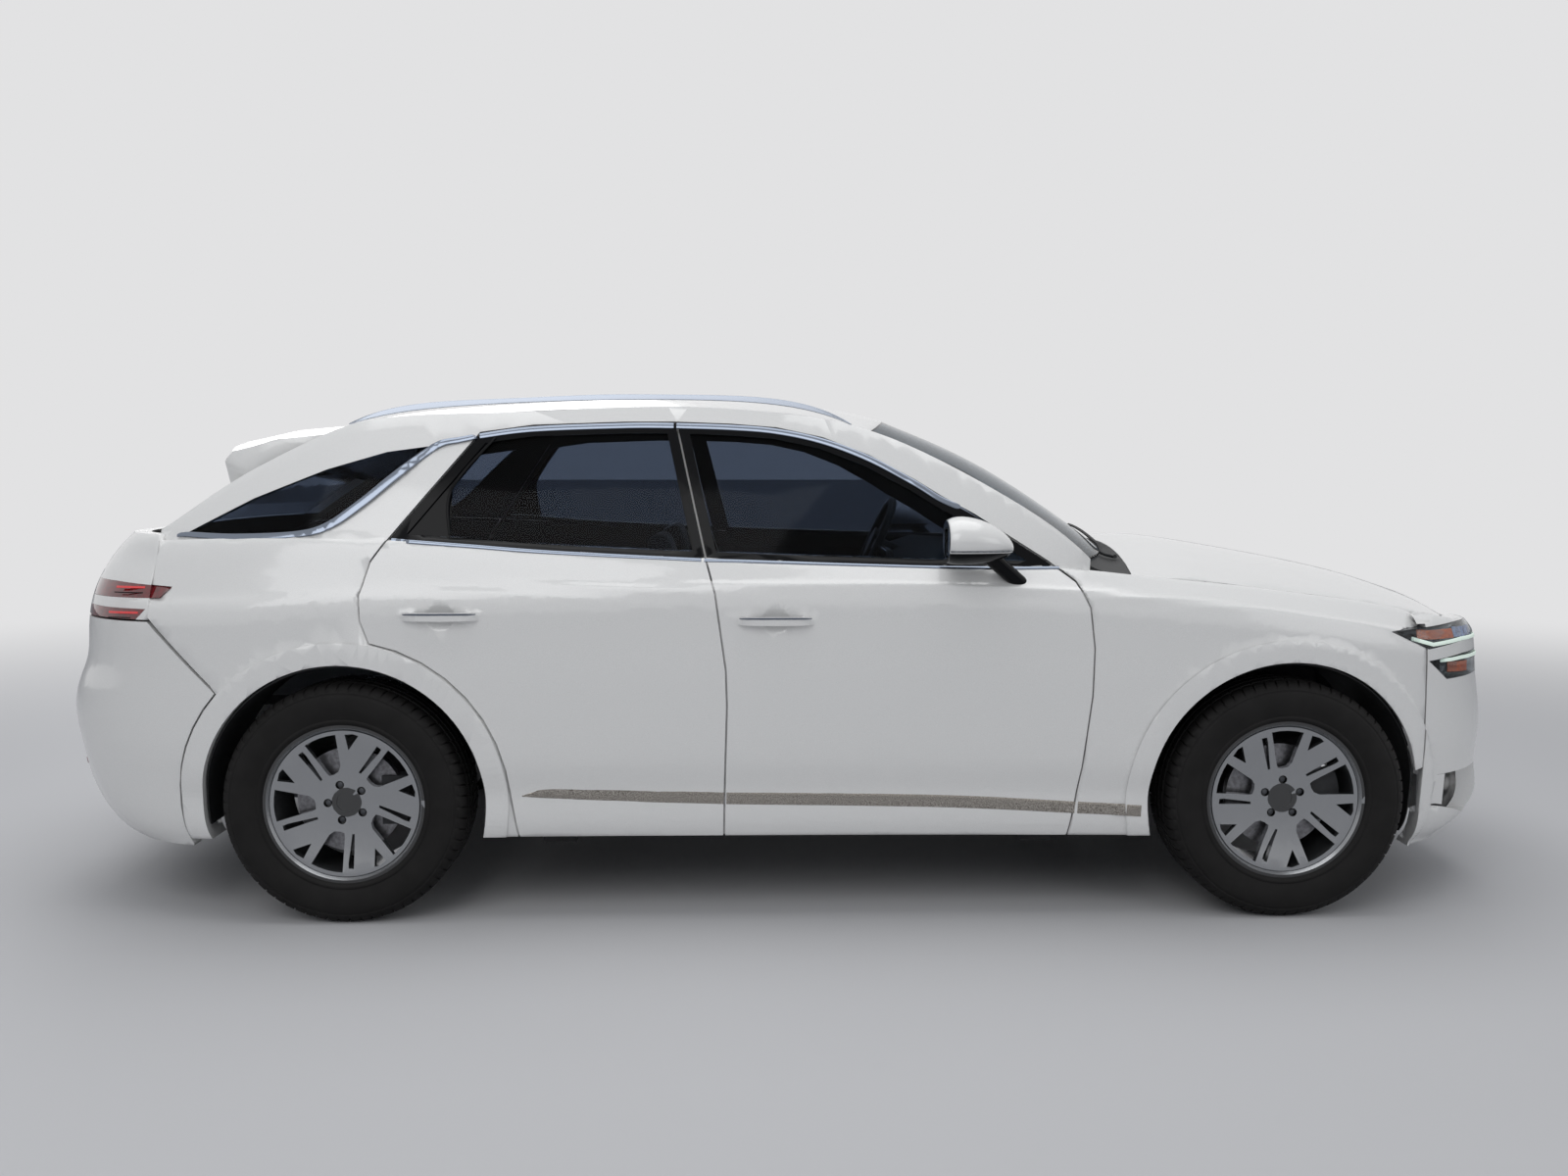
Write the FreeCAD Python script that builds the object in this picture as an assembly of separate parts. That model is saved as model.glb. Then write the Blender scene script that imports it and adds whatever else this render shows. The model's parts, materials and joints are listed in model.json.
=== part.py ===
import FreeCAD, Part
import math
import os
from FreeCAD import Vector

os.makedirs("parts", exist_ok=True)

# A five-door sport utility car. X points forward, Y to its left, Z up, in millimetres.
# The origin lies on the ground under the middle of the car.

# Overall sizes
length = 4715.0
width = 1910.0
height = 1630.0
wheelbase = 2875.0
front_overhang = 847.5
rear_overhang = length - wheelbase - front_overhang
half_width = width / 2
front_axle_x = length / 2 - front_overhang
rear_axle_x = front_axle_x - wheelbase

# Wheels and tyres, 235/60 R18
tyre_radius = 369.5
tyre_width = 235.0
rim_radius = 229.0
rim_flange_radius = 244.0
rim_flange_width = 16.0
rim_wall = 9.0
rim_width = 203.0
track_front = 1640.0
track_rear = 1650.0
axle_height = tyre_radius

# Walls and gaps
shut_gap = 6.0
skin_wall = 16.0
layer_gap = 6.0
swing_gap = 16.0
frame_wall = 22.0
door_depth = 105.0
frame_depth = 52.0
ring_inset = 38.0
glass_wall = 5.0
glass_inset = 6.0
seat_gap = 0.3
cut_overrun = 400.0

# Lower body section, from the sill to the shoulder crease: height share between
# the two, then share of the half width
section_shares = [
    (0.00, 0.950), (0.05, 0.964), (0.12, 0.967), (0.18, 0.967), (0.255, 0.979), (0.29, 0.9845),
    (0.33, 0.988), (0.48, 0.994), (0.68, 1.000), (0.86, 0.999), (0.94, 0.996), (0.98, 0.990), (1.00, 0.984),
]
# Between the crease and the belt: share of the way up, share of the way in
shoulder_shares = [(0.08, 0.13), (0.22, 0.28), (0.55, 0.55), (1.00, 1.00)]

# Lines along the side. The first value is the place along the car: 0 at the rear axle,
# 1 at the front axle, -1 at the tail and 2 at the nose. The second is a share of the
# height or of the half width.
sill_height_shares = [(-1.0, 0.150), (0.0, 0.160), (0.4, 0.162), (0.75, 0.160), (2.0, 0.140)]
crease_height_shares = [
    (-1.0, 0.585), (-0.5, 0.600), (0.22, 0.629), (0.40, 0.638), (0.62, 0.638),
    (0.80, 0.622), (1.0, 0.585), (1.5, 0.536), (2.0, 0.470),
]
belt_height_shares = [
    (-1.0, 0.690), (-0.5, 0.716), (0.05, 0.718), (0.135, 0.708), (0.22, 0.697),
    (0.38, 0.684), (0.63, 0.669), (0.755, 0.664), (0.83, 0.650), (0.917, 0.634),
    (1.016, 0.617), (1.315, 0.594), (1.524, 0.573), (1.71, 0.548), (2.0, 0.510),
]
belt_width_shares = [
    (-1.0, 0.90), (-0.5, 0.90), (-0.15, 0.915), (0.05, 0.920), (0.135, 0.922),
    (0.38, 0.925), (0.63, 0.925), (0.755, 0.920), (0.83, 0.895), (0.917, 0.868),
    (1.016, 0.850), (1.315, 0.845), (1.524, 0.86), (1.71, 0.87), (2.0, 0.88),
]
# Upper edge of the side: backlight edge, roof side and windscreen pillar
roof_edge_height_shares = [
    (-0.86, 0.650), (-0.635, 0.722), (-0.347, 0.837), (-0.20, 0.885), (-0.06, 0.928),
    (0.01, 0.938), (0.125, 0.955), (0.257, 0.966), (0.424, 0.962), (0.50, 0.948),
    (0.5605, 0.920), (0.658, 0.845), (0.72, 0.776), (0.757, 0.727), (0.79, 0.680),
]
roof_edge_width_shares = [
    (-0.86, 0.80), (-0.635, 0.775), (-0.347, 0.740), (-0.20, 0.722), (-0.06, 0.700),
    (0.01, 0.690), (0.125, 0.672), (0.257, 0.664), (0.424, 0.672), (0.50, 0.692),
    (0.5605, 0.722), (0.658, 0.788), (0.72, 0.842), (0.757, 0.876), (0.79, 0.902),
]

# Rounding of the two ends in plan, and how far each height reaches to nose and tail
front_round_start_share = 0.84
front_round_power = 3.5
rear_round_start_share = 0.107
rear_round_power = 4.3
nose_reach_shares = [
    (0.110, 0.850), (0.150, 0.950), (0.206, 1.000), (0.260, 0.985), (0.355, 0.993),
    (0.41, 0.972), (0.504, 0.955), (0.54, 0.935), (0.60, 0.880), (0.72, 0.80),
]
tail_reach_shares = [
    (0.135, 0.820), (0.160, 0.880), (0.190, 0.920), (0.254, 0.967), (0.317, 0.985),
    (0.385, 1.000), (0.434, 0.985), (0.483, 0.952), (0.544, 0.942), (0.623, 0.920),
    (0.682, 0.870), (0.735, 0.790),
]

# Shut lines and window lines in side view
front_door_front_shares = [
    (0.766, 0.155), (0.774, 0.232), (0.779, 0.291), (0.788, 0.428), (0.789, 0.518),
    (0.784, 0.593), (0.771, 0.640), (0.745, 0.675),
]
centre_gap_shares = [
    (0.400, 0.155), (0.401, 0.249), (0.404, 0.411), (0.403, 0.479), (0.392, 0.620),
    (0.381, 0.686), (0.347, 0.937),
]
rear_door_rear_shares = [(0.0245, 0.572), (0.023, 0.618), (0.032, 0.677), (0.048, 0.718)]
rear_door_sill_share = 0.183
rear_door_arch_angle_low = 3.0
rear_door_arch_angle_high = 79.0
window_top_shares = [
    (0.134, 0.917), (0.191, 0.931), (0.291, 0.937), (0.347, 0.937), (0.408, 0.933),
    (0.457, 0.926), (0.507, 0.907), (0.557, 0.873), (0.606, 0.826), (0.634, 0.795),
    (0.668, 0.762),
]
quarter_glass_shares = [
    (-0.525, 0.721), (-0.336, 0.718), (-0.140, 0.723), (-0.056, 0.738), (0.0134, 0.780),
    (0.0423, 0.826), (0.0746, 0.872), (0.089, 0.893), (0.0357, 0.880), (-0.077, 0.847),
    (-0.296, 0.793),
]

# Wheel arches with their raised lips
arch_radius = 430.0
arch_lip_radius = 503.0
arch_lip_proud = 7.0
lip_lowest_angle = 196.0
lip_joint_angle = 137.0

# Front end in side view
fender_front_share = 1.53


def along(share):
    """Place along the car of a station share."""
    if share < 0:
        return rear_axle_x + share * rear_overhang
    if share > 1:
        return front_axle_x + (share - 1) * front_overhang
    return rear_axle_x + share * wheelbase


def station(x):
    """Station share of a place along the car."""
    if x < rear_axle_x:
        return (x - rear_axle_x) / rear_overhang
    if x > front_axle_x:
        return 1 + (x - front_axle_x) / front_overhang
    return (x - rear_axle_x) / wheelbase


def read_line(table, share):
    """Smooth value of a line of (place, value) pairs at one place."""
    if share <= table[0][0]:
        return table[0][1]
    if share >= table[-1][0]:
        return table[-1][1]
    k = 0
    while share > table[k + 1][0]:
        k += 1
    before = table[max(k - 1, 0)]
    start = table[k]
    end = table[k + 1]
    after = table[min(k + 2, len(table) - 1)]
    span = end[0] - start[0]
    slope_start = (end[1] - before[1]) / (end[0] - before[0])
    slope_end = (after[1] - start[1]) / (after[0] - start[0])
    t = (share - start[0]) / span
    return (
        start[1] * (2 * t**3 - 3 * t**2 + 1)
        + span * slope_start * (t**3 - 2 * t**2 + t)
        + end[1] * (3 * t**2 - 2 * t**3)
        + span * slope_end * (t**3 - t**2)
    )


def height_on(table, x):
    return height * read_line(table, station(x))


def plan_rounding(x, z):
    """Share of the width that is left at a place near the nose or the tail."""
    front_start = along(front_round_start_share)
    rear_start = along(rear_round_start_share)
    if x > front_start:
        reach = along(1 + read_line(nose_reach_shares, z / height)) - front_start
        part = min((x - front_start) / reach, 1.0)
        return (1 - part**front_round_power) ** (1 / front_round_power)
    if x < rear_start:
        reach = rear_start - along(-read_line(tail_reach_shares, z / height))
        part = min((rear_start - x) / reach, 1.0)
        return (1 - part**rear_round_power) ** (1 / rear_round_power)
    return 1.0


def lower_section(x):
    """Points of the side's section at one place, from the sill up to the belt."""
    low = height_on(sill_height_shares, x)
    crease = height_on(crease_height_shares, x)
    belt = height_on(belt_height_shares, x)
    points = []
    for up, out in section_shares:
        z = low + up * (crease - low)
        points.append(Vector(x, half_width * out * plan_rounding(x, z), z))
    crease_out = section_shares[-1][1]
    belt_out = read_line(belt_width_shares, station(x))
    for up, inward in shoulder_shares:
        z = crease + up * (belt - crease)
        out = crease_out + inward * (belt_out - crease_out)
        points.append(Vector(x, half_width * out * plan_rounding(x, z), z))
    return points


def side_width_at(x, z):
    """Half width of the lower side surface at one place."""
    points = lower_section(x)
    for low, high in zip(points, points[1:]):
        if z <= high.z:
            part = (z - low.z) / (high.z - low.z)
            return low.y + part * (high.y - low.y)
    return points[-1].y


# The window band stands a step inside the belt
belt_step = 14.0
belt_tuck = 60.0
pillar_bow_share = 0.06


def upper_section(x):
    """Points of the window band's section, from under the belt up to the roof edge."""
    belt = height_on(belt_height_shares, x)
    top = height_on(roof_edge_height_shares, x)
    belt_out = half_width * read_line(belt_width_shares, station(x)) * plan_rounding(x, belt)
    belt_out -= belt_step
    top_out = half_width * read_line(roof_edge_width_shares, station(x))
    rise = max(top - belt, belt_step)
    lean = (belt_out - top_out) / rise
    points = []
    for up in (-belt_tuck / rise, 0.0, 0.35, 0.7, 1.0):
        bow = pillar_bow_share * rise * up * (1 - up) if up > 0 else 0.0
        points.append(Vector(x, belt_out - lean * up * rise + bow, belt + up * rise))
    return points


def surface_through(rows):
    """Smooth face through sections, each a row of points."""
    wires = []
    for row in rows:
        curve = Part.BSplineCurve()
        curve.interpolate(row)
        wires.append(Part.Wire(curve.toShape()))
    return Part.makeLoft(wires, False, False).Faces[0]


def mirrored(shape):
    """The same shape on the other side of the car."""
    return shape.mirror(Vector(0, 0, 0), Vector(0, 1, 0))


def fused(shapes):
    """One shape from several."""
    result = shapes[0]
    if len(shapes) > 1:
        result = result.multiFuse(shapes[1:])
    return result.removeSplitter()


def layer(face, start, depth):
    """Wall between two depths under a face of the left side."""
    moved = face.copy()
    moved.translate(Vector(0, -start, 0))
    return moved.extrude(Vector(0, -depth, 0))


def through_side(points, inner=0.0):
    """Cutter through the left side with an outline of (x, z) points."""
    wire = Part.makePolygon([Vector(x, inner, z) for x, z in points + points[:1]])
    return Part.Face(wire).extrude(Vector(0, half_width + cut_overrun - inner, 0))


def grown(points, distance):
    """An outline moved outwards, or inwards where the distance is negative."""
    area = sum(a[0] * b[1] - b[0] * a[1] for a, b in zip(points, points[1:] + points[:1]))
    away = distance if area > 0 else -distance
    result = []
    for before, point, after in zip(points[-1:] + points[:-1], points, points[1:] + points[:1]):
        first = (point[0] - before[0], point[1] - before[1])
        second = (after[0] - point[0], after[1] - point[1])
        size_one = math.hypot(*first)
        size_two = math.hypot(*second)
        normal_one = (first[1] / size_one, -first[0] / size_one)
        normal_two = (second[1] / size_two, -second[0] / size_two)
        mitre = 1 + normal_one[0] * normal_two[0] + normal_one[1] * normal_two[1]
        step = away / max(mitre, 0.3)
        result.append((
            point[0] + step * (normal_one[0] + normal_two[0]),
            point[1] + step * (normal_one[1] + normal_two[1]),
        ))
    return result


def box(x0, x1, y0, y1, z0, z1):
    """Block between two corners."""
    return Part.makeBox(x1 - x0, y1 - y0, z1 - z0, Vector(x0, y0, z0))


def cylinder_y(radius, y0, y1, x, z):
    """Cylinder along Y."""
    return Part.makeCylinder(radius, y1 - y0, Vector(x, y0, z), Vector(0, 1, 0))


def cylinder_z(radius, z0, z1, x, y):
    """Cylinder along Z."""
    return Part.makeCylinder(radius, z1 - z0, Vector(x, y, z0), Vector(0, 0, 1))


def rod(radius, start, end):
    """Round bar between two points."""
    return Part.makeCylinder(radius, (end - start).Length, start, end - start)


def save(name, shape):
    """Write one sub-part."""
    shape.exportStep("parts/" + name + ".step")


def shares_to_places(table):
    return [(along(s), height * z) for s, z in table]


# Stations of the sections through the left side
LOWER_STATIONS = [
    -0.66, -0.5, -0.35, -0.18, 0.0, 0.14, 0.3, 0.45, 0.62, 0.76, 0.86, 0.96, 1.15, 1.32, 1.48, 1.6,
]
UPPER_STATIONS = [-0.62, -0.48, -0.32, -0.16, 0.0, 0.13, 0.28, 0.42, 0.54, 0.62, 0.70, 0.79]


def lower_face():
    return surface_through([lower_section(along(s)) for s in LOWER_STATIONS])


def upper_face():
    return surface_through([upper_section(along(s)) for s in UPPER_STATIONS])


def arch_points(axle_x, radius, angle_from, angle_to, count):
    """Points on an arc about an axle, angles from straight ahead in degrees."""
    points = []
    for k in range(count + 1):
        angle = math.radians(angle_from + (angle_to - angle_from) * k / count)
        points.append((axle_x + radius * math.cos(angle), axle_height + radius * math.sin(angle)))
    return points


def front_door_outline():
    """Front door in side view, with its window frame."""
    front = shares_to_places(front_door_front_shares)
    top = [p for p in shares_to_places(window_top_shares) if p[0] > along(0.35)]
    centre = shares_to_places(centre_gap_shares)
    return front + top[::-1] + centre[::-1]


def rear_door_outline():
    """Rear door in side view, its rear edge round the wheel arch."""
    centre = shares_to_places(centre_gap_shares)
    top = [p for p in shares_to_places(window_top_shares) if p[0] < along(0.345)]
    rear = shares_to_places(rear_door_rear_shares)
    arch = arch_points(rear_axle_x, arch_lip_radius, rear_door_arch_angle_high, rear_door_arch_angle_low, 8)
    sill = [(along(rear_door_sill_share), height * centre_gap_shares[0][1])]
    return centre + top[::-1] + rear[::-1] + arch + sill


# Outer faces of the left side
lower = lower_face()
upper = upper_face()


def sides(name, shape):
    """Write a piece of the left side and its mirror image on the right."""
    save(name + "_left", shape)
    save(name + "_right", mirrored(shape))


# Doors
window_frame_width = 34.0
window_sill_rise = 16.0


def belt_points(x_from, x_to, rise, steps=8):
    """Points along the belt, a step above it."""
    points = []
    for k in range(steps + 1):
        x = x_from + (x_to - x_from) * k / steps
        points.append((x, height_on(belt_height_shares, x) + rise))
    return points


def above_belt(points, rise):
    """The part of an outline above the belt, closed along the belt."""
    kept = [p for p in points if p[1] > height_on(belt_height_shares, p[0]) + rise + window_sill_rise]
    x_values = []
    for first, second in ((points[k - 1], points[k]) for k in range(len(points))):
        rise_first = first[1] - height_on(belt_height_shares, first[0]) - rise
        rise_second = second[1] - height_on(belt_height_shares, second[0]) - rise
        if rise_first * rise_second < 0:
            part = rise_first / (rise_first - rise_second)
            x_values.append(first[0] + part * (second[0] - first[0]))
    line = belt_points(min(x_values), max(x_values), rise)
    start = kept[0]
    if math.hypot(start[0] - line[0][0], start[1] - line[0][1]) < math.hypot(
        start[0] - line[-1][0], start[1] - line[-1][1]
    ):
        line = line[::-1]
    return kept + line


def door_shape(outline, window):
    """Door with its outer skin, inner core and window frame."""
    half_gap = shut_gap / 2
    overlap = skin_wall / 2
    skin = through_side(grown(outline, -half_gap))
    core = through_side(grown(outline, -half_gap - ring_inset))
    frame = layer(upper, 0, skin_wall).common(skin).fuse(
        layer(upper, skin_wall - overlap, frame_depth - skin_wall + overlap).common(core)
    )
    frame = frame.cut(through_side(window))
    return fused([
        layer(lower, 0, skin_wall).common(skin),
        layer(lower, skin_wall - overlap, door_depth - skin_wall + overlap).common(core),
        frame,
    ])


def rolled(points, start):
    """The same closed outline begun at another point."""
    return points[start:] + points[:start]


front_door = front_door_outline()
rear_door = rear_door_outline()
front_window = above_belt(rolled(grown(front_door, -window_frame_width), 8), window_sill_rise)
rear_window = above_belt(rolled(grown(rear_door, -window_frame_width), 5), window_sill_rise)

# Door handles: a bar over a round scoop in the skin
handle_shares = {"front": (0.4550, 0.571), "rear": (0.1078, 0.580)}
handle_long = 236.0
handle_high = 25.0
handle_proud = 30.0
handle_grip = 13.0
scoop_radius = 44.0
scoop_depth = 11.0
handle_plan_shares = [
    (-0.50, -0.10), (-0.43, 0.50), (-0.28, 0.90), (0.0, 1.0), (0.28, 0.90), (0.43, 0.50), (0.50, -0.10),
]


def with_handle(door, which):
    """Door with its handle and the scoop behind it."""
    share, high = handle_shares[which]
    x = along(share)
    z = height * high
    y = side_width_at(x, z)
    ball_radius = (scoop_radius**2 + scoop_depth**2) / (2 * scoop_depth)
    scoop = Part.makeSphere(ball_radius, Vector(x, y + ball_radius - scoop_depth, z))
    outer = [(x + handle_long * u, y + handle_proud * v) for u, v in handle_plan_shares]
    inner = [(px, py - handle_grip) for px, py in outer[1:-1]]
    inner[0] = (outer[1][0] + handle_grip, y - handle_grip / 4)
    inner[-1] = (outer[-2][0] - handle_grip, y - handle_grip / 4)
    line = outer + inner[::-1]
    wire = Part.makePolygon([Vector(px, py, z - handle_high / 2) for px, py in line + line[:1]])
    bar = Part.Face(wire).extrude(Vector(0, 0, handle_high))
    return fused([door.cut(scoop), bar])


sides("door_front", with_handle(door_shape(front_door, front_window), "front"))
sides("door_rear", with_handle(door_shape(rear_door, rear_window), "rear"))
for name, window in (("front", front_window), ("rear", rear_window)):
    pane = layer(upper, glass_inset, glass_wall).common(through_side(grown(window, -seat_gap)))
    sides("glass_" + name, pane)

# Side frames: rear quarter, pillars, roof side and the sill behind the doors
ring_depth = frame_wall + 84.0
pillar_depth = 58.0
quarter_tail_x = along(-0.60)
fender_gap_x = along(fender_front_share)


arch_cut = cylinder_y(arch_radius, half_width / 2, half_width + cut_overrun, rear_axle_x, axle_height)
front_arch_cut = cylinder_y(arch_radius, half_width / 2, half_width + cut_overrun, front_axle_x, axle_height)

side_region = [
    (along(-0.60), height * 0.60), (along(-0.585), height * 0.571 + shut_gap),
    (along(-0.387), height * 0.4485 + shut_gap),
] + arch_points(rear_axle_x, arch_lip_radius - shut_gap / 2, lip_joint_angle, lip_lowest_angle, 8) + [
    (along(0.79), height * 0.155), (along(0.80), height * 0.50), (along(0.795), height * 0.62),
    (along(0.79), height * 0.66), (along(0.79), height), (along(-0.60), height),
]
region_cut = through_side(side_region)


def arch_lip(axle_x):
    """Raised lip round a wheel arch, laid on the side surface."""
    ring = cylinder_y(arch_lip_radius - shut_gap, half_width / 2, half_width + cut_overrun, axle_x, axle_height)
    ring = ring.cut(cylinder_y(arch_radius, 0, half_width + cut_overrun, axle_x, axle_height))
    return layer(lower, -arch_lip_proud, arch_lip_proud + skin_wall / 2).common(ring)


# Pads under the sill for a lift or a jack
lift_pad_shares = (0.224, 0.735)
lift_pad_long = 100.0
lift_pad_wide = 56.0
lift_pad_inner = 816.0
lift_pad_low = 236.0
lift_pad_high = 38.0


def side_frame():
    """Rear quarter, roof side, pillars and sill of one side in one piece."""
    half_gap = shut_gap / 2
    door_clear = [through_side(grown(door, half_gap)) for door in (front_door, rear_door)]
    inner_clear = [
        through_side(grown(door, half_gap + swing_gap - ring_inset)) for door in (front_door, rear_door)
    ]
    skin_lower = layer(lower, 0, frame_wall).common(region_cut)
    skin_upper = layer(upper, 0, frame_wall).common(region_cut)
    front_of_door = box(along(0.70), length, 0, width, 0, height)
    skin = skin_lower.cut(front_of_door).fuse(skin_upper)
    for cutter in door_clear:
        skin = skin.cut(cutter)
    ring = layer(lower, frame_wall - frame_wall / 4, ring_depth - frame_wall).common(region_cut)
    band = layer(upper, frame_wall - frame_wall / 4, pillar_depth - frame_wall).common(region_cut)
    ring = ring.fuse(band)
    for cutter in inner_clear:
        ring = ring.cut(cutter)
    under_belt = layer(upper, -ring_depth, ring_depth + skin_wall + layer_gap)
    for drop in (0.0, layer_gap):
        way_out = under_belt.copy()
        way_out.translate(Vector(0, 0, -drop))
        for cutter in door_clear:
            ring = ring.cut(way_out.common(cutter))
    body = skin.fuse(ring)
    glass = through_side(shares_to_places(quarter_glass_shares))
    body = body.cut(glass).cut(arch_cut).fuse(arch_lip(rear_axle_x).common(region_cut))
    for share in lift_pad_shares:
        x = along(share)
        body = body.fuse(box(
            x - lift_pad_long / 2, x + lift_pad_long / 2, lift_pad_inner, lift_pad_inner + lift_pad_wide,
            lift_pad_low, lift_pad_low + lift_pad_high,
        ))
    return body


quarter_pane = layer(upper, glass_inset, glass_wall).common(
    through_side(grown(shares_to_places(quarter_glass_shares), -seat_gap))
)
save("quarter_glass", Part.makeCompound([quarter_pane, mirrored(quarter_pane)]))


# Front fenders
def front_fender():
    """Fender with its wheel arch, from the door's front edge to the bumper."""
    half_gap = shut_gap / 2
    door_edge = grown(front_door, half_gap)
    region = [
        (along(0.70), height * 0.155), (front_axle_x - arch_radius / 2, height * 0.155),
        (fender_gap_x - half_gap, height * 0.28), (fender_gap_x - half_gap, height * 0.72),
        (along(0.79), height * 0.72), (along(0.76), height * 0.667), (along(0.70), height * 0.667),
    ]
    place = through_side(region)
    wall = layer(lower, 0, skin_wall).common(place).fuse(arch_lip(front_axle_x).common(place))
    return wall.cut(through_side(door_edge)).cut(front_arch_cut)


# Roof, windscreen and hood span the car between the two sides
roof_gap = 1.0
roof_crown = 50.0
roof_wall = 26.0
header_bow = 85.0
cowl_bow = 190.0
windscreen_wall = 6.0
roof_rear_share = -0.10
header_share = 0.5605
cowl_share = 0.79


def inner_width(x):
    """Half width between the roof sides."""
    return half_width * read_line(roof_edge_width_shares, station(x)) - pillar_depth - roof_gap


def spanning_row(x, bow, crown, across, columns=8):
    """Points from the right to the left side at one station, bowed forward and up."""
    row = []
    top = height_on(roof_edge_height_shares, x)
    for k in range(columns + 1):
        c = 2 * k / columns - 1
        row.append(Vector(x + bow * (1 - c * c), c * across, top + crown * (1 - c * c)))
    return row


def roof_face():
    rows = []
    steps = 8
    start = along(roof_rear_share)
    end = along(header_share)
    for k in range(steps + 1):
        x = start + (end - start) * k / steps
        forward = max(0.0, (k - steps / 2) / (steps / 2)) ** 2
        rows.append(spanning_row(x, header_bow * forward, roof_crown, inner_width(x)))
    return surface_through(rows)


def windscreen_face():
    rows = []
    steps = 5
    start = along(header_share)
    end = along(cowl_share)
    for k in range(steps + 1):
        t = k / steps
        x = start + (end - start) * t
        bow = header_bow + (cowl_bow - header_bow) * t
        rows.append(spanning_row(x + roof_gap, bow, roof_crown * (1 - t), inner_width(x)))
    return surface_through(rows)


roof = roof_face().extrude(Vector(0, 0, -roof_wall))
windscreen = windscreen_face().extrude(Vector(0, 0, -windscreen_wall * 1.6))
save("roof_panel", roof)
save("windscreen", windscreen)

hood_crown_shares = [(0.84, 0.042), (0.92, 0.063), (1.0, 0.062), (1.3, 0.055), (1.6, 0.05), (1.93, 0.04)]
hood_wall = 26.0
hood_rear_bow = 90.0
hood_side_gap = 4.0


def hood_half_width(x):
    belt = height_on(belt_height_shares, x)
    return half_width * read_line(belt_width_shares, station(x)) * plan_rounding(x, belt)


def hood_row(x, columns=10):
    row = []
    side = hood_half_width(x) - skin_wall - hood_side_gap
    edge = height_on(belt_height_shares, x)
    crown = height * read_line(hood_crown_shares, station(x))
    for k in range(columns + 1):
        c = 2 * k / columns - 1
        row.append(Vector(x, c * side, edge + crown * (1 - abs(c) ** 2.2)))
    return row


def hood_face():
    rows = []
    for s in (0.80, 0.88, 0.96, 1.1, 1.25, 1.4, 1.55, 1.7, 1.8, 1.9, 2.0):
        rows.append(hood_row(along(s)))
    return surface_through(rows)


hood_rear_share_side = 0.832
hood_nose_inset = 8.0
hood_level_share = 0.545


def hood_rear_x(y):
    """Rear edge of the hood, bowed towards the windscreen's middle."""
    c = y / half_width
    return along(hood_rear_share_side) + hood_rear_bow * (1 - c * c)


def plan_cutter(points, z0, z1):
    """Cutter through an outline of (x, y) points seen from above."""
    wire = Part.makePolygon([Vector(x, y, z0) for x, y in points + points[:1]])
    return Part.Face(wire).extrude(Vector(0, 0, z1 - z0))


def rear_edge_points(forward, steps=12):
    return [
        (hood_rear_x(width * (k / steps - 0.5)) + forward, width * (k / steps - 0.5))
        for k in range(steps + 1)
    ]


hood_top = hood_face()
hood_slab = hood_top.extrude(Vector(0, 0, -hood_wall))
hood_clear = hood_top.copy()
hood_clear.translate(Vector(0, 0, -hood_wall - shut_gap))
hood_clear = hood_clear.extrude(Vector(0, 0, height / 3))
# Nose and tail are shells whose level outlines follow the same plan rounding
shell_wall = 45.0
nose_levels = (0.112, 0.135, 0.165, 0.206, 0.26, 0.32, 0.38, 0.44, 0.50, 0.54, 0.58)
tail_levels = (0.137, 0.165, 0.20, 0.254, 0.317, 0.385, 0.434, 0.483, 0.544, 0.60, 0.65, 0.69, 0.725)
nose_root_x = along(1.34)
tail_root_x = along(-0.36)


def level_curve(z, inset, end_sign, root_x, columns=9):
    """Points of one level outline round the nose or tail, from left to right."""
    if end_sign > 0:
        start = along(front_round_start_share)
        reach = along(1 + read_line(nose_reach_shares, z / height)) - start
        power = front_round_power
    else:
        start = along(rear_round_start_share)
        reach = start - along(-read_line(tail_reach_shares, z / height))
        power = rear_round_power
    side_x = along(1.40) if end_sign > 0 else along(-0.40)
    broad = side_width_at(side_x, z) / plan_rounding(side_x, z)
    reach -= inset
    broad -= inset
    part = min(abs(root_x - start) / reach, 0.98)
    first = math.asin(part ** (power / 2))
    half = []
    for k in range(columns + 1):
        angle = first + (math.pi / 2 - first) * k / columns
        x = start + end_sign * reach * math.sin(angle) ** (2 / power)
        y = broad * max(math.cos(angle), 0.0) ** (2 / power)
        half.append(Vector(x, y, z))
    half[-1].y = 0.0
    return half + [Vector(p.x, -p.y, p.z) for p in half[-2::-1]]


def end_solid(levels, inset, end_sign, root_x):
    """Solid nose or tail inside the level outlines, flat at its root."""
    wires = []
    for share in levels:
        points = level_curve(height * share, inset, end_sign, root_x)
        for p in (points[0], points[-1]):
            p.x = root_x
        curve = Part.BSplineCurve()
        curve.interpolate(points)
        wires.append(Part.Wire([curve.toShape(), Part.makeLine(points[-1], points[0])]))
    return Part.makeLoft(wires, True, False)


def end_shell(levels, outer, inner, end_sign, root_x):
    """Wall of the nose or tail between two insets."""
    low = (levels[0] - 0.01,) + levels[1:-1] + (levels[-1] + 0.01,)
    solid = end_solid(levels, outer, end_sign, root_x)
    return solid.cut(end_solid(low, inner, end_sign, root_x - end_sign * shell_wall))


nose = end_shell(nose_levels, 0.0, shell_wall, 1, nose_root_x)
tail = end_shell(tail_levels, 0.0, shell_wall, -1, tail_root_x)
# Hood inside its shut line, and the cowl between it and the windscreen
nose_line = [(p.x, p.y) for p in level_curve(height * hood_level_share, hood_nose_inset, 1, nose_root_x)]
hood_plan = plan_cutter(nose_line + rear_edge_points(0.0), 0, height)
hood = hood_slab.common(hood_plan)
save("hood", hood)


cowl_drop = 14.0


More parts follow.
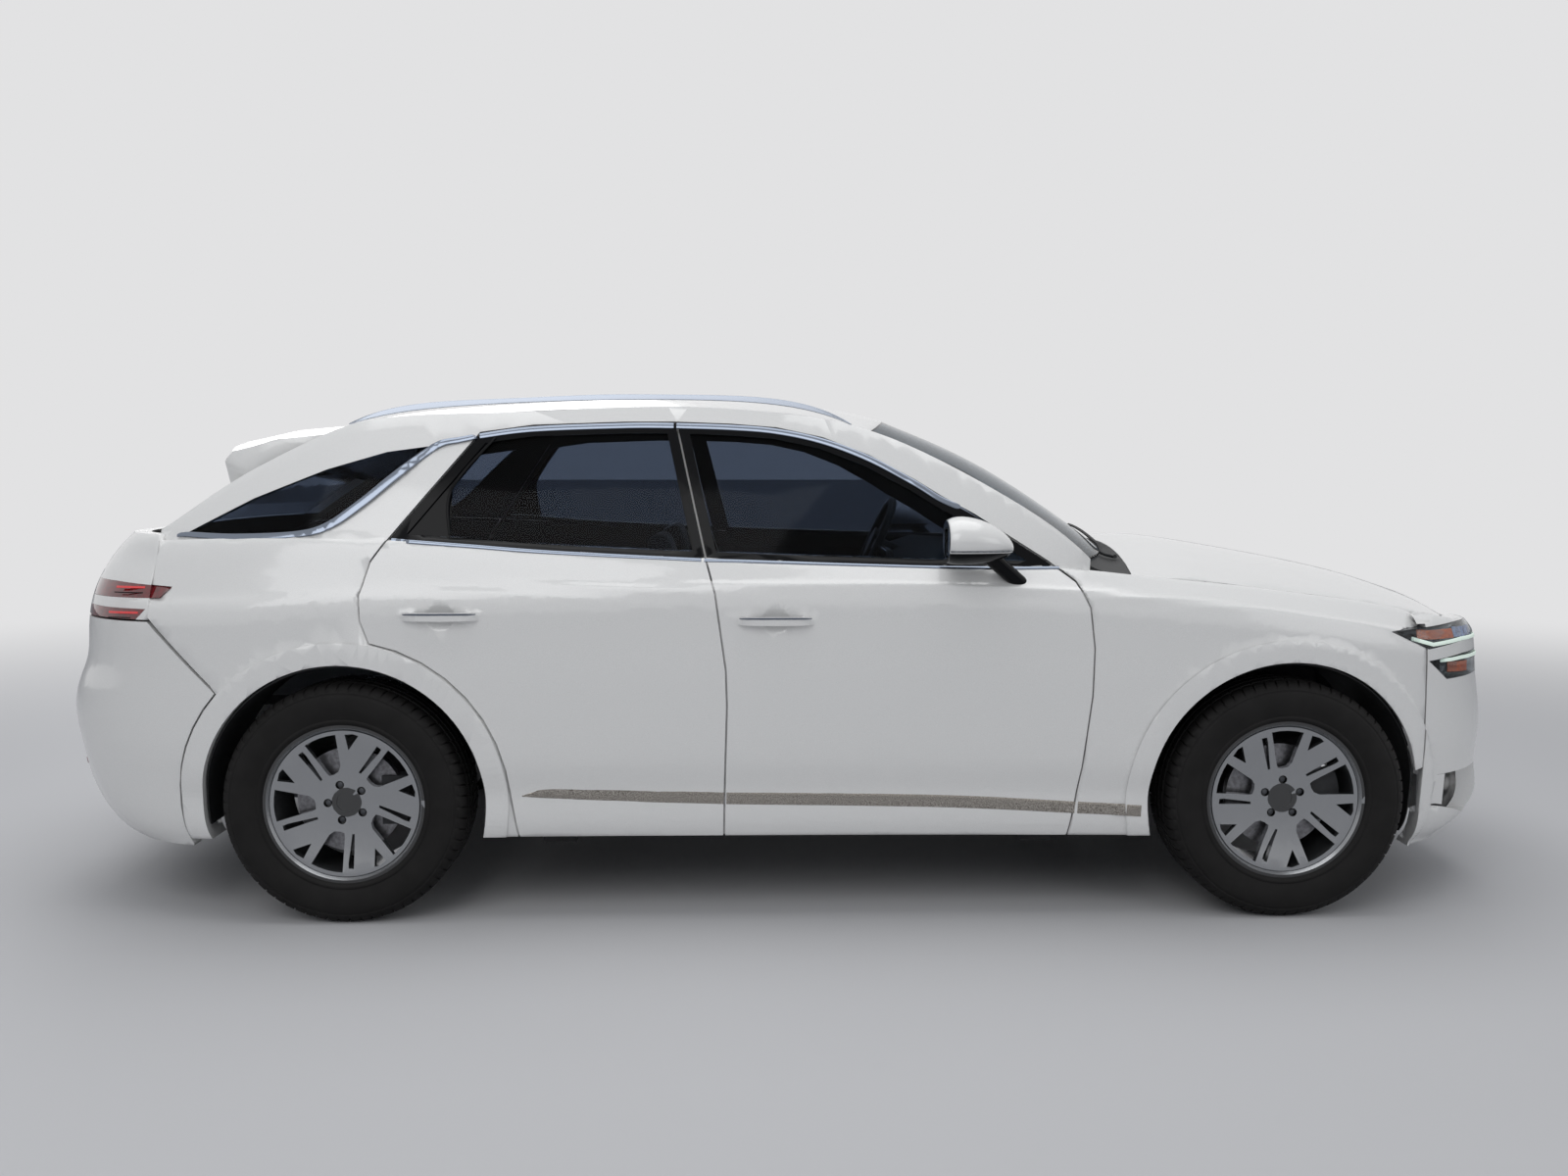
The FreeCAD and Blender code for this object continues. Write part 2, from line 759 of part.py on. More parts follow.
def cowl_face():
    """Top of the trim strip under the wipers, from the windscreen's foot to the hood."""
    tuck = 1.5 * cowl_drop
    columns = 8
    low_x = along(cowl_share)
    behind = spanning_row(low_x - cowl_drop, cowl_bow, 0.0, inner_width(low_x))
    ahead = []
    for p in behind:
        x = hood_rear_x(p.y) - shut_gap
        side = hood_half_width(x) - skin_wall - hood_side_gap
        crown = height * read_line(hood_crown_shares, station(x))
        edge = height_on(belt_height_shares, x)
        ahead.append(Vector(x, p.y, edge + crown * (1 - abs(p.y / side) ** 2.2) - cowl_drop / 2))
    for p in behind:
        p.z -= tuck
    middle = [Vector((a.x + b.x) / 2, a.y, (a.z + b.z) / 2 - cowl_drop) for a, b in zip(behind, ahead)]
    return surface_through([behind, middle, ahead])


cowl_top = cowl_face()
save("cowl", cowl_top.extrude(Vector(0, 0, -cowl_drop)))

# Outlines cut in the nose: lamps in side view, grille in front view
headlamp_shares = [
    [(1.377, 0.543), (1.68, 0.552), (2.10, 0.556), (2.10, 0.512), (1.72, 0.516), (1.54, 0.506)],
    [(1.54, 0.484), (1.72, 0.492), (2.10, 0.492), (2.10, 0.448), (1.63, 0.446)],
]
headlamp_inner_share = 0.56
grille_shares = [(0.48, 0.49), (0.53, 0.435), (0.34, 0.235)]
intake_shares = [(0.86, 0.26), (0.86, 0.20), (0.70, 0.16), (0.62, 0.16), (0.66, 0.26)]
grille_depth = 26.0
grille_bar = 10.0
grille_pitch = 76.0
grille_lean = 38.0
grille_frame = 20.0
lamp_gap = seat_gap


# Threaded bore for the towing eye, and the hole in front of it
tow_radius = 12.0
tow_hole_radius = 30.0
tow_y = -450.0
tow_share = 0.30


def both_halves(points):
    """A front view outline completed by its mirror image."""
    return points + [(-y, z) for y, z in points[::-1]]


def through_nose(points, x0, x1):
    """Cutter along the car through an outline of (y, z) points."""
    wire = Part.makePolygon([Vector(x0, y, z) for y, z in points + points[:1]])
    return Part.Face(wire).extrude(Vector(x1 - x0, 0, 0))


def front_places(table):
    return [(half_width * y, height * z) for y, z in table]


nose_front = box(fender_gap_x + shut_gap / 2, length, -half_width, half_width, 0, height)
grille_outline = both_halves(front_places(grille_shares))
lamp_blocks = []
lamp_holes = []
for outline in headlamp_shares:
    places = shares_to_places(outline)
    for sign in (1, -1):
        inner = half_width * headlamp_inner_share
        zone = box(0, length, inner if sign > 0 else -half_width, half_width if sign > 0 else -inner, 0, height)
        whole = through_side(grown(places, -lamp_gap), -cut_overrun - half_width)
        lamp_blocks.append(whole.common(zone))
        zone_grown = box(
            0, length, inner - lamp_gap if sign > 0 else -width, width if sign > 0 else lamp_gap - inner, 0, height
        )
        lamp_holes.append(through_side(places, -cut_overrun - half_width).common(zone_grown))
nose_free = nose.cut(hood_clear)
headlamps = [nose_free.common(block) for block in lamp_blocks]
save("headlamps", Part.makeCompound(headlamps))
bumper_front = nose_free.common(nose_front).cut(through_nose(grille_outline, 0, length))
for hole in lamp_holes:
    bumper_front = bumper_front.cut(hole)
for sign in (1, -1):
    intake = [(sign * y, z) for y, z in front_places(intake_shares)]
    bumper_front = bumper_front.cut(through_nose(intake, front_axle_x, length))
lip_ring = cylinder_y(arch_lip_radius - shut_gap, -width, width, front_axle_x, axle_height).cut(
    cylinder_y(arch_radius, -width, width, front_axle_x, axle_height))
lip_solid = end_solid(nose_levels, -arch_lip_proud, 1, nose_root_x).cut(
    end_solid((nose_levels[0] - 0.01,) + nose_levels[1:-1] + (nose_levels[-1] + 0.01,),
              skin_wall / 2, 1, nose_root_x - shell_wall))
bumper_front = bumper_front.cut(cylinder_y(arch_radius, -width, width, front_axle_x, axle_height))
bumper_front = bumper_front.fuse(lip_solid.common(lip_ring).common(nose_front))
tow_hole = rod(tow_hole_radius, Vector(front_axle_x, tow_y, height * tow_share), Vector(length, tow_y, height * tow_share))
bumper_front = bumper_front.cut(tow_hole)
save("bumper_front", bumper_front)
fender_left = front_fender()
for hole in lamp_holes:
    fender_left = fender_left.cut(hole)
sides("fender", fender_left)

mesh_levels = nose_levels[1:-1]
mesh_layer = end_solid(mesh_levels, grille_depth, 1, nose_root_x).cut(
    end_solid((mesh_levels[0] - 0.01,) + mesh_levels[1:-1] + (mesh_levels[-1] + 0.01,),
              grille_depth + grille_bar, 1, nose_root_x - shell_wall)
)
grille_low = min(z for y, z in grille_outline)
lattice_reach = half_width * grille_shares[1][0]
grille_high = max(z for y, z in grille_outline)
lattice_z = (grille_low + grille_high) / 2
half_wide = grille_pitch / (2 * math.cos(math.radians(grille_lean)))
half_tall = grille_pitch / (2 * math.sin(math.radians(grille_lean)))
open_share = 1 - grille_bar / grille_pitch
columns = int(lattice_reach / half_wide) + 1
rows = int((grille_high - grille_low) / half_tall) + 1
diamonds = []
for i in range(-columns, columns + 1):
    for j in range(-rows, rows + 1):
        if (i + j) % 2 == 0:
            y = i * half_wide
            z = lattice_z + j * half_tall
            wide = half_wide * open_share
            tall = half_tall * open_share
            diamonds.append(through_nose([(y - wide, z), (y, z - tall), (y + wide, z), (y, z + tall)], 0, length))
inside_frame = through_nose(grown(grille_outline, -grille_frame), 0, length)
openings = Part.makeCompound(diamonds).common(inside_frame)
grille = mesh_layer.common(through_nose(grown(grille_outline, -seat_gap), 0, length)).cut(openings)
save("grille", grille)

# Rear bumper, tail lamps and the rear quarter's corner
tailgate_edge = 620.0
tailgate_low = 0.43
bumper_top_share = 0.5685
bumper_side_shares = [(-0.587, 0.5685), (-0.389, 0.4485)]
tail_lamp_shares = [
    [(-0.725, 0.638), (-0.515, 0.631), (-0.55, 0.610), (-1.1, 0.606), (-1.1, 0.640)],
    [(-0.74, 0.590), (-0.594, 0.590), (-0.64, 0.563), (-1.1, 0.563), (-1.1, 0.592)],
]
tail_lamp_inner_share = 0.30
corner_root_x = along(-0.585)

half_gap = shut_gap / 2
tail_rear = box(-length, corner_root_x, -width, width, 0, height)
bumper_region = (
    shares_to_places(bumper_side_shares)
    + arch_points(rear_axle_x, arch_lip_radius, lip_joint_angle, lip_lowest_angle, 8)
    + [(rear_axle_x - arch_lip_radius, 0), (-length, 0), (-length, height * bumper_top_share)]
)
gate_zone = box(-length, corner_root_x, -tailgate_edge, tailgate_edge, height * tailgate_low, height)
gate_clear = box(
    -length, 0, -tailgate_edge - shut_gap, tailgate_edge + shut_gap, height * tailgate_low - shut_gap, height
)
tail_blocks = []
tail_holes = []
for outline in tail_lamp_shares:
    places = shares_to_places(outline)
    tail_blocks.append(through_side(grown(places, -seat_gap), -width))
    tail_holes.append(through_side(places, -width))
lamp_zone = box(-length, 0, -half_width * tail_lamp_inner_share, half_width * tail_lamp_inner_share, 0, height)
bumper_rear = tail.common(through_side(grown(bumper_region, -half_gap), -width)).cut(gate_clear)
save("bumper_rear", bumper_rear)
gate_lower = tail.common(gate_zone)
gate_lamps = []
corner_lamps = []
corner = tail.common(tail_rear).cut(gate_clear).cut(
    box(-length, 0, -width, width, 0, height * bumper_top_share + half_gap))
frame_left = side_frame()
for block, hole in zip(tail_blocks, tail_holes):
    slim = block.cut(lamp_zone)
    gate_lamps.append(gate_lower.common(slim))
    corner_lamps.append(corner.common(slim))
    gate_lower = gate_lower.cut(hole.cut(lamp_zone))
    corner = corner.cut(hole)
    frame_left = frame_left.cut(hole)
corner_left = corner.common(box(-length, 0, 0, width, 0, height))
save("tail_lamps", Part.makeCompound(corner_lamps))
save("tailgate_lamps", Part.makeCompound(gate_lamps))
frame_left = frame_left.fuse(corner_left)
sides("side_frame", frame_left)

# Tailgate: lower panel, window frame, glass and spoiler
backlight_bow = 110.0
backlight_low_share = -0.70
backlight_high_share = -0.33
gate_frame_wall = 45.0
gate_glass_border = 70.0


def backlight_face():
    rows = []
    steps = 6
    for k in range(steps + 1):
        s = backlight_low_share + (backlight_high_share - backlight_low_share) * k / steps
        rows.append(spanning_row(along(s), -backlight_bow, 0.0, inner_width(along(s)) - roof_gap))
    return surface_through(rows)


backlight = backlight_face()
gate_frame = backlight.extrude(Vector(0, 0, -gate_frame_wall))
window_low = height_on(roof_edge_height_shares, along(-0.60))
window_high = height_on(roof_edge_height_shares, along(-0.36))
glass_zone = through_nose(both_halves([
    (inner_width(along(-0.60)) - gate_glass_border, window_low),
    (inner_width(along(-0.36)) - gate_glass_border, window_high),
]), -length, 0)
gate_glass = backlight.copy()
gate_glass.translate(Vector(0, 0, -glass_inset))
gate_glass = gate_glass.extrude(Vector(0, 0, -glass_wall * 1.6)).common(glass_zone)
gate_frame = gate_frame.cut(glass_zone).cut(box(-length, quarter_tail_x + 3 * shut_gap, tailgate_edge, width, 0, height))
gate_frame = gate_frame.cut(box(-length, quarter_tail_x + 3 * shut_gap, -width, -tailgate_edge, 0, height))
tailgate = gate_lower.fuse(gate_frame)
save("tailgate_panel", tailgate)
save("tailgate_glass", gate_glass)


spoiler_long = 428.0
spoiler_side_reach = 0.78
spoiler_shares = [
    (0.0, 0.0), (0.50, 0.045), (0.93, 0.135), (1.0, 0.205), (0.945, 0.40), (0.70, 0.39), (0.45, 0.355), (0.0, 0.14),
]


def spoiler():
    """Roof spoiler over the rear window."""
    x_root = along(roof_rear_share) - shut_gap
    wires = []
    count = 6
    for k in range(count + 1):
        c = 2 * k / count - 1
        across = inner_width(x_root) * c
        top = height_on(roof_edge_height_shares, x_root) + roof_crown * (1 - c * c)
        reach = 1 - (1 - spoiler_side_reach) * abs(c) ** 2.5
        points = []
        for back, drop in spoiler_shares:
            points.append(Vector(x_root - spoiler_long * back * reach, across, top - spoiler_long * drop))
        wires.append(Part.makePolygon(points + points[:1]))
    return Part.makeLoft(wires, True, False)


gate_clear_under = backlight.copy()
gate_clear_under.translate(Vector(0, 0, seat_gap))
spoiler_solid = spoiler().cut(gate_clear_under.extrude(Vector(0, 0, -2 * gate_frame_wall)))
save("tailgate_spoiler", max(spoiler_solid.Solids, key=lambda s: s.Volume))

# Door mirrors
mirror_x = 446.0
mirror_y = 992.0
mirror_z = 1171.0
mirror_long = 196.0
mirror_broad = 94.0
mirror_high = 69.0
mirror_arm_foot_x = 684.0
mirror_arm_foot_z = 1036.0
mirror_arm = 24.0
# Sections from the glass to the front: place, half breadth, half height, rise of the middle
mirror_shares = [
    (0.00, 0.93, 0.90, -0.03), (0.10, 1.00, 1.00, 0.00), (0.38, 0.98, 0.99, 0.00), (0.63, 0.88, 0.84, -0.07),
    (0.83, 0.68, 0.60, -0.17), (0.95, 0.43, 0.36, -0.26), (1.00, 0.20, 0.16, -0.30),
]


def door_mirror():
    """Housing with a flat back, on an arm that stands on the door."""
    wires = []
    for forward, broad, high, rise in mirror_shares:
        ring = Part.Ellipse(Vector(0, 0, 0), mirror_broad * broad, mirror_high * high)
        loop = Part.Wire(ring.toShape())
        loop.rotate(Vector(0, 0, 0), Vector(0, 1, 0), 90)
        loop.rotate(Vector(0, 0, 0), Vector(1, 0, 0), 90)
        loop.translate(Vector(mirror_x + forward * mirror_long, mirror_y, mirror_z + mirror_high * rise))
        wires.append(loop)
    housing = Part.makeLoft(wires, True, False)
    foot_y = side_width_at(mirror_arm_foot_x, mirror_arm_foot_z)
    foot = Vector(mirror_arm_foot_x, foot_y - mirror_arm, mirror_arm_foot_z)
    head = Vector(mirror_x + mirror_long * 0.6, mirror_y - mirror_broad / 3, mirror_z - mirror_high / 2)
    arm = rod(mirror_arm, foot, head)
    arm = arm.cut(layer(lower, -seat_gap, door_depth)).cut(layer(upper, -seat_gap, door_depth))
    arm = max(arm.Solids, key=lambda s: s.CenterOfMass.y)
    return housing.fuse(arm)


mirror_left = door_mirror()
sides("mirror", mirror_left)

# Wheels turn on a stub axle in their knuckle
spoke_groups = 5
hub_radius = 74.0
spoke_thick = 21.0
lug_circle_radius = 57.15
lug_radius = 13.0
lug_seat_depth = 16.0
lug_angle = 40.5
cap_radius = 31.0
cap_depth = 3.0
disc_radius = 162.0
disc_outer = 32.0
disc_thick = 28.0
stub_radius = 27.0
stub_length = 62.0
running_gap = 0.05
tread_share = 0.77
sidewall_shares = [(0.04, 0.885), (0.47, 1.0), (0.86, 0.93)]
blade_angle_front = 49.5
blade_angle_rear = 69.5

# Dished outer face of the spokes: share of the rim radius, then its height above the wheel's
# middle as a share of the rim radius
face_shares = [
    (0.0, 0.312), (0.20, 0.312), (0.36, 0.318), (0.60, 0.345), (0.80, 0.378), (0.935, 0.402), (0.985, 0.404),
]
# Windows between the spokes in one of the five groups, as shares of the rim radius, along the
# wide blade and across it
slot_shares = [(0.440, -0.020), (0.540, -0.050), (0.878, -0.146), (0.855, -0.212), (0.790, -0.198), (0.433, -0.052)]
fork_shares = [(0.690, 0.196), (0.924, 0.128), (0.926, 0.200), (0.880, 0.302)]
window_shares = [
    (0.836, 0.417), (0.784, 0.509), (0.716, 0.601), (0.643, 0.678), (0.560, 0.746),
    (0.425, 0.560), (0.285, 0.372), (0.262, 0.325), (0.300, 0.275), (0.360, 0.232), (0.440, 0.232),
]


def revolved(points):
    """Ring turned about the Y axis from (radius, y) points."""
    wire = Part.makePolygon([Vector(r, y, 0) for r, y in points + points[:1]])
    return Part.Face(wire).revolve(Vector(0, 0, 0), Vector(0, 1, 0), 360)


def tyre():
    """Tyre about the origin, its outer side towards positive Y."""
    low = rim_flange_radius + seat_gap
    half = tyre_width / 2
    rise = tyre_radius - low
    side = [(low, half * sidewall_shares[0][1])]
    side += [(low + rise * r, half * y) for r, y in sidewall_shares[1:]]
    side.append((tyre_radius, half * tread_share))
    return revolved(side + [(r, -y) for r, y in side[::-1]])


def turned_outline(shares, angle):
    """Outline of the wheel's face, turned about its middle, as a cutter along Y."""
    turn = math.radians(angle)
    points = []
    for u, w in shares:
        along_blade = rim_radius * u
        across = rim_radius * w
        points.append(Vector(
            along_blade * math.cos(turn) - across * math.sin(turn), 0.0,
            along_blade * math.sin(turn) + across * math.cos(turn),
        ))
    return Part.Face(Part.makePolygon(points + points[:1])).extrude(Vector(0, rim_width, 0))


def wheel(blade_angle):
    """Rim, spokes, hub, brake disc and stub axle, about the origin."""
    half = rim_width / 2
    flange = rim_flange_radius
    bed = rim_radius
    inner = rim_radius - rim_wall
    shoulder = rim_flange_width * 1.4
    barrel = revolved([
        (flange, half), (flange, half - rim_flange_width), (bed, half - shoulder), (bed, shoulder - half),
        (flange, rim_flange_width - half), (flange, -half), (inner, -half), (inner, half - shoulder),
        (bed, half - rim_flange_width / 2), (flange - rim_wall, half),
    ])
    outer_face = [(rim_radius * r, rim_radius * y) for r, y in face_shares]
    back_face = [(r, y - spoke_thick) for r, y in outer_face]
    back_face[0] = (0.0, disc_outer - disc_thick / 2)
    back_face[1] = (hub_radius, disc_outer - disc_thick / 2)
    back_face[2] = (hub_radius, outer_face[2][1] - spoke_thick)
    face = revolved(outer_face + back_face[::-1])
    cutters = [Part.makeCylinder(
        cap_radius, rim_width, Vector(0, outer_face[0][1] - cap_depth, 0), Vector(0, 1, 0))]
    for k in range(spoke_groups):
        angle = blade_angle + 360 / spoke_groups * k
        cutters += [turned_outline(shares, angle) for shares in (slot_shares, fork_shares, window_shares)]
        lug = math.radians(angle + lug_angle)
        x = lug_circle_radius * math.cos(lug)
        z = lug_circle_radius * math.sin(lug)
        cutters.append(cylinder_y(lug_radius, outer_face[0][1] - lug_seat_depth, rim_width, x, z))
    disc = cylinder_y(disc_radius, disc_outer - disc_thick, disc_outer, 0, 0)
    stub = cylinder_y(stub_radius, disc_outer - disc_thick - stub_length, disc_outer, 0, 0)
    for cutter in cutters:
        face = face.cut(cutter)
    return fused([barrel, face, disc, stub])


# Knuckles with their caliper. The front ones steer about an upright pin.
kingpin_inset = 62.0
carrier_radius = 60.0
carrier_gap = 3.0
knuckle_bar = 34.0
pin_radius = 11.0
pin_length = 34.0
knuckle_low = 128.0
knuckle_high = 150.0
caliper_long = 150.0
caliper_gap = 3.0
caliper_wall = 22.0


def knuckle(pins):
    """Carrier for the stub axle about the wheel's centre, with the brake caliper."""
    carrier_outer = disc_outer - disc_thick - carrier_gap
    back = -kingpin_inset - knuckle_bar / 2
    carrier = cylinder_y(carrier_radius, carrier_outer - stub_length + 6, carrier_outer, 0, 0)
    post = box(-knuckle_bar / 2, knuckle_bar / 2, back, back + knuckle_bar, -knuckle_low, knuckle_high)
    caliper_start = disc_radius * 0.62
    caliper_end = disc_radius + caliper_gap + caliper_wall
    caliper_inner = disc_outer - disc_thick - caliper_gap - caliper_wall
    caliper = box(
        caliper_start, caliper_end, caliper_inner, disc_outer + caliper_gap + caliper_wall / 2,
        -caliper_long / 2, caliper_long / 2,
    )
    caliper = caliper.common(cylinder_y(caliper_end, -tyre_width, tyre_width, 0, 0))
    caliper = caliper.cut(cylinder_y(
        disc_radius + caliper_gap, disc_outer - disc_thick - caliper_gap, disc_outer + caliper_gap, 0, 0))
    caliper = caliper.cut(cylinder_y(hub_radius + caliper_gap * 2, -tyre_width, tyre_width, 0, 0))
    bracket = box(0, caliper_start + caliper_wall, caliper_inner, caliper_inner + caliper_wall, -caliper_wall, caliper_wall)
    shape = fused([carrier, post, caliper, bracket])
    shape = shape.cut(cylinder_y(stub_radius + running_gap, -tyre_width, tyre_width, 0, 0).common(
        cylinder_y(stub_radius + running_gap, carrier_outer - stub_length + 3, tyre_width, 0, 0)))
    shape = shape.cut(cylinder_y(
        stub_radius + running_gap, disc_outer - disc_thick - stub_length - carrier_gap, tyre_width, 0, 0))
    if pins:
        low_pin = cylinder_z(pin_radius, -knuckle_low - pin_length, -knuckle_low, 0, -kingpin_inset)
        high_pin = cylinder_z(pin_radius, knuckle_high, knuckle_high + pin_length, 0, -kingpin_inset)
        shape = fused([shape, low_pin, high_pin])
    return shape


corners = {
    "front_left": (front_axle_x, track_front / 2, 1),
    "front_right": (front_axle_x, track_front / 2, -1),
    "rear_left": (rear_axle_x, track_rear / 2, 1),
    "rear_right": (rear_axle_x, track_rear / 2, -1),
}


def at_corner(shape, corner):
    """A left-hand piece moved to one corner of the car."""
    x, y, side = corners[corner]
    moved = shape.copy()
    moved.translate(Vector(x, y, axle_height))
    return moved if side > 0 else mirrored(moved)


tyre_shape = tyre()
wheel_shapes = {"front": wheel(blade_angle_front), "rear": wheel(blade_angle_rear)}
front_knuckle = knuckle(True)
rear_knuckle = knuckle(False)
for corner in corners:
    save("tyre_" + corner, at_corner(tyre_shape, corner))
    save("wheel_" + corner, at_corner(wheel_shapes[corner.split("_")[0]], corner))
for corner in ("front_left", "front_right"):
    save("knuckle_" + corner, at_corner(front_knuckle, corner))

# Suspension arms and subframes
arm_wide = 44.0
arm_thick = 26.0
eye_radius = 24.0
subframe_half = 400.0
subframe_low = 210.0
tower_inner = 500.0
tower_outer = 575.0
tower_long = 90.0
liner_radius = arch_radius - 4.0
liner_wall = 4.0


def front_suspension():
    """Subframe with lower and upper arms whose eyes hold the knuckles' pins."""
    pin_y = track_front / 2 - kingpin_inset
    low_z = axle_height - knuckle_low - pin_length
    high_z = axle_height + knuckle_high + running_gap * 10
    low_z_top = axle_height - knuckle_low - running_gap * 10
    arms = []
    for z0, z1, root in (
        (low_z_top - arm_thick, low_z_top, subframe_half - arm_wide),
        (high_z, high_z + arm_thick, tower_inner + arm_thick),
    ):
        arms.append(box(front_axle_x - arm_wide / 2, front_axle_x + arm_wide / 2, root, pin_y, z0, z1))
        arms.append(cylinder_z(eye_radius, z0, z1, front_axle_x, pin_y))
    tower_top = axle_height + math.sqrt((liner_radius - liner_wall - seat_gap) ** 2 - (tower_long / 2) ** 2)
    arms.append(box(
        front_axle_x - tower_long / 2, front_axle_x + tower_long / 2, tower_inner, tower_outer,
        low_z_top - arm_thick, tower_top,
    ))
    left = fused(arms)
    for z0, z1 in ((low_z - arm_thick, low_z_top + 1), (high_z - 1, high_z + 2 * arm_thick)):
        left = left.cut(cylinder_z(pin_radius + running_gap, z0, z1, front_axle_x, pin_y))
    cross = box(
        front_axle_x - 170, front_axle_x + 170, -subframe_half, subframe_half,
        low_z_top - arm_thick - 20, low_z_top + 10,
    )
    return fused([cross, left, mirrored(left)])


def rear_suspension():
    """Rear subframe with links, spring towers and the fixed rear knuckles."""
    y = track_rear / 2
    carrier = rear_knuckle.copy()
    carrier.translate(Vector(rear_axle_x, y, axle_height))
    pieces = [carrier]
    back = y - kingpin_inset
    for z in (axle_height - knuckle_low + arm_thick, axle_height + knuckle_high - arm_thick):
        pieces.append(box(rear_axle_x - arm_wide / 2, rear_axle_x + arm_wide / 2, subframe_half - 100, back, z - arm_thick / 2, z + arm_thick / 2))
    left = fused(pieces)
    cross = box(rear_axle_x - 200, rear_axle_x + 200, -subframe_half, subframe_half, 210, 285)
    upright = box(rear_axle_x - 60, rear_axle_x + 60, subframe_half - 120, subframe_half, 210, height * 0.38)
    return fused([cross, left, mirrored(left), upright, mirrored(upright)])


front_axle = front_suspension()
rear_axle = rear_suspension()
save("front_suspension", front_axle)


def wheel_liner(x, y0, y1, root_z):
    """Half ring over a wheel."""
    ring = cylinder_y(liner_radius, y0, y1, x, axle_height).cut(
        cylinder_y(liner_radius - liner_wall, y0 - cut_overrun, y1 + cut_overrun, x, axle_height))
    return ring.common(box(x - arch_radius, x + arch_radius, y0, y1, root_z, height))


front_liner = wheel_liner(front_axle_x, 490, half_width, 240).common(
    layer(lower, skin_wall + seat_gap, half_width))
rear_liner = wheel_liner(rear_axle_x, 640, half_width, 300).common(
    layer(lower, skin_wall + seat_gap, half_width))
liners = [front_liner, mirrored(front_liner), rear_liner, mirrored(rear_liner)]
save("arch_liners", Part.makeCompound(liners))
# Floor, bulkhead and cargo floor in one pressed pan
floor_wall = 30.0
floor_share = 0.165
floor_half = side_width_at(0.0, height * floor_share) - ring_depth + frame_wall / 4 - seat_gap
floor_shares = [
    (0.845, 0.66), (0.845, 0.30), (0.78, 0.165), (0.26, 0.165), (0.20, 0.27), (0.04, 0.30),
    (-0.10, 0.385), (-0.80, 0.385), (-0.80, 0.455),
]
tunnel_half = 130.0
tunnel_high = 150.0
well_inner = 640.0


def strip_top(places, wall):
    """The upper line of a pressing whose lower line is given."""
    upper_line = []
    for k, point in enumerate(places):
        before = places[max(k - 1, 0)]
        after = places[min(k + 1, len(places) - 1)]
        run = (after[0] - before[0], after[1] - before[1])
        size = math.hypot(*run)
        upper_line.append((point[0] + wall * run[1] / size, point[1] - wall * run[0] / size))
    return upper_line


def side_strip(places, wall, half):
    """Pressing of one thickness along an open line in side view."""
    outline = places + strip_top(places, wall)[::-1]
    wire = Part.makePolygon([Vector(x, -half, z) for x, z in outline + outline[:1]])
    return Part.Face(wire).extrude(Vector(0, 2 * half, 0))


floor_line = shares_to_places(floor_shares)
floor = side_strip(floor_line, floor_wall, floor_half)
wells = fused([
    cylinder_y(arch_radius - 2, well_inner, half_width, rear_axle_x, axle_height),
    cylinder_y(arch_radius - 2, -half_width, -well_inner, rear_axle_x, axle_height),
])
front_wells = fused([
    cylinder_y(arch_radius + 2, 488, half_width, front_axle_x, axle_height),
    cylinder_y(arch_radius + 2, -half_width, -488, front_axle_x, axle_height),
])
tunnel_x0 = along(0.22)
tunnel_x1 = along(0.82)
tunnel = box(tunnel_x0, tunnel_x1, -tunnel_half, tunnel_half, height * 0.165, height * 0.165 + tunnel_high)
tunnel = tunnel.cut(box(
    tunnel_x0 - 1, tunnel_x1 + 1, floor_wall - tunnel_half, tunnel_half - floor_wall,
    0, height * 0.165 + tunnel_high - floor_wall))
floor = floor.cut(box(
    tunnel_x0, tunnel_x1, floor_wall - tunnel_half, tunnel_half - floor_wall,
    0, height * 0.165 + tunnel_high - floor_wall))
floor = floor.fuse(tunnel).cut(wells).cut(front_wells)
cowl_clear = cowl_top.copy()
cowl_clear.translate(Vector(0, 0, -cowl_drop - seat_gap))
floor = floor.cut(cowl_clear.extrude(Vector(0, 0, height / 10))).cut(hood_clear)
for sign in (1, -1):
    outer = sign * 690
    floor = floor.cut(box(-length, rear_axle_x - arch_radius + 20, min(outer, sign * width), max(outer, sign * width), 0, height))
floor_seams = []
for low, high in list(zip(floor_line, strip_top(floor_line, floor_wall)))[1:-1]:
    reach = Vector(high[0] - low[0], 0, high[1] - low[1])
    start = Vector(low[0], -width, low[1]) - reach
    across = Vector(reach.z, 0, -reach.x).normalize() * seat_gap
    corners = [start, start + across, start + across + reach * 3, start + reach * 3, start]
    floor_seams.append(Part.Face(Part.makePolygon(corners)).extrude(Vector(0, 2 * width, 0)))
seam_top = height * floor_share + 2 * tunnel_high
for sign in (1, -1):
    outside = sign * (tunnel_half + seat_gap)
    floor_seams.append(box(
        tunnel_x0 - seat_gap, tunnel_x1 + seat_gap, min(outside, sign * tunnel_half),
        max(outside, sign * tunnel_half), 0, seam_top))
for x in (tunnel_x0 - seat_gap, tunnel_x1):
    floor_seams.append(box(x, x + seat_gap, -tunnel_half - seat_gap, tunnel_half + seat_gap, 0, seam_top))
floor_panels = floor
for seam in floor_seams:
    floor_panels = floor_panels.cut(seam)
save("floor_pan", floor_panels)
floor_under = floor.copy()
floor_under.translate(Vector(0, 0, -seat_gap))
rear_axle = max(rear_axle.cut(floor_under).Solids, key=lambda s: s.Volume)
save("rear_suspension", rear_axle)

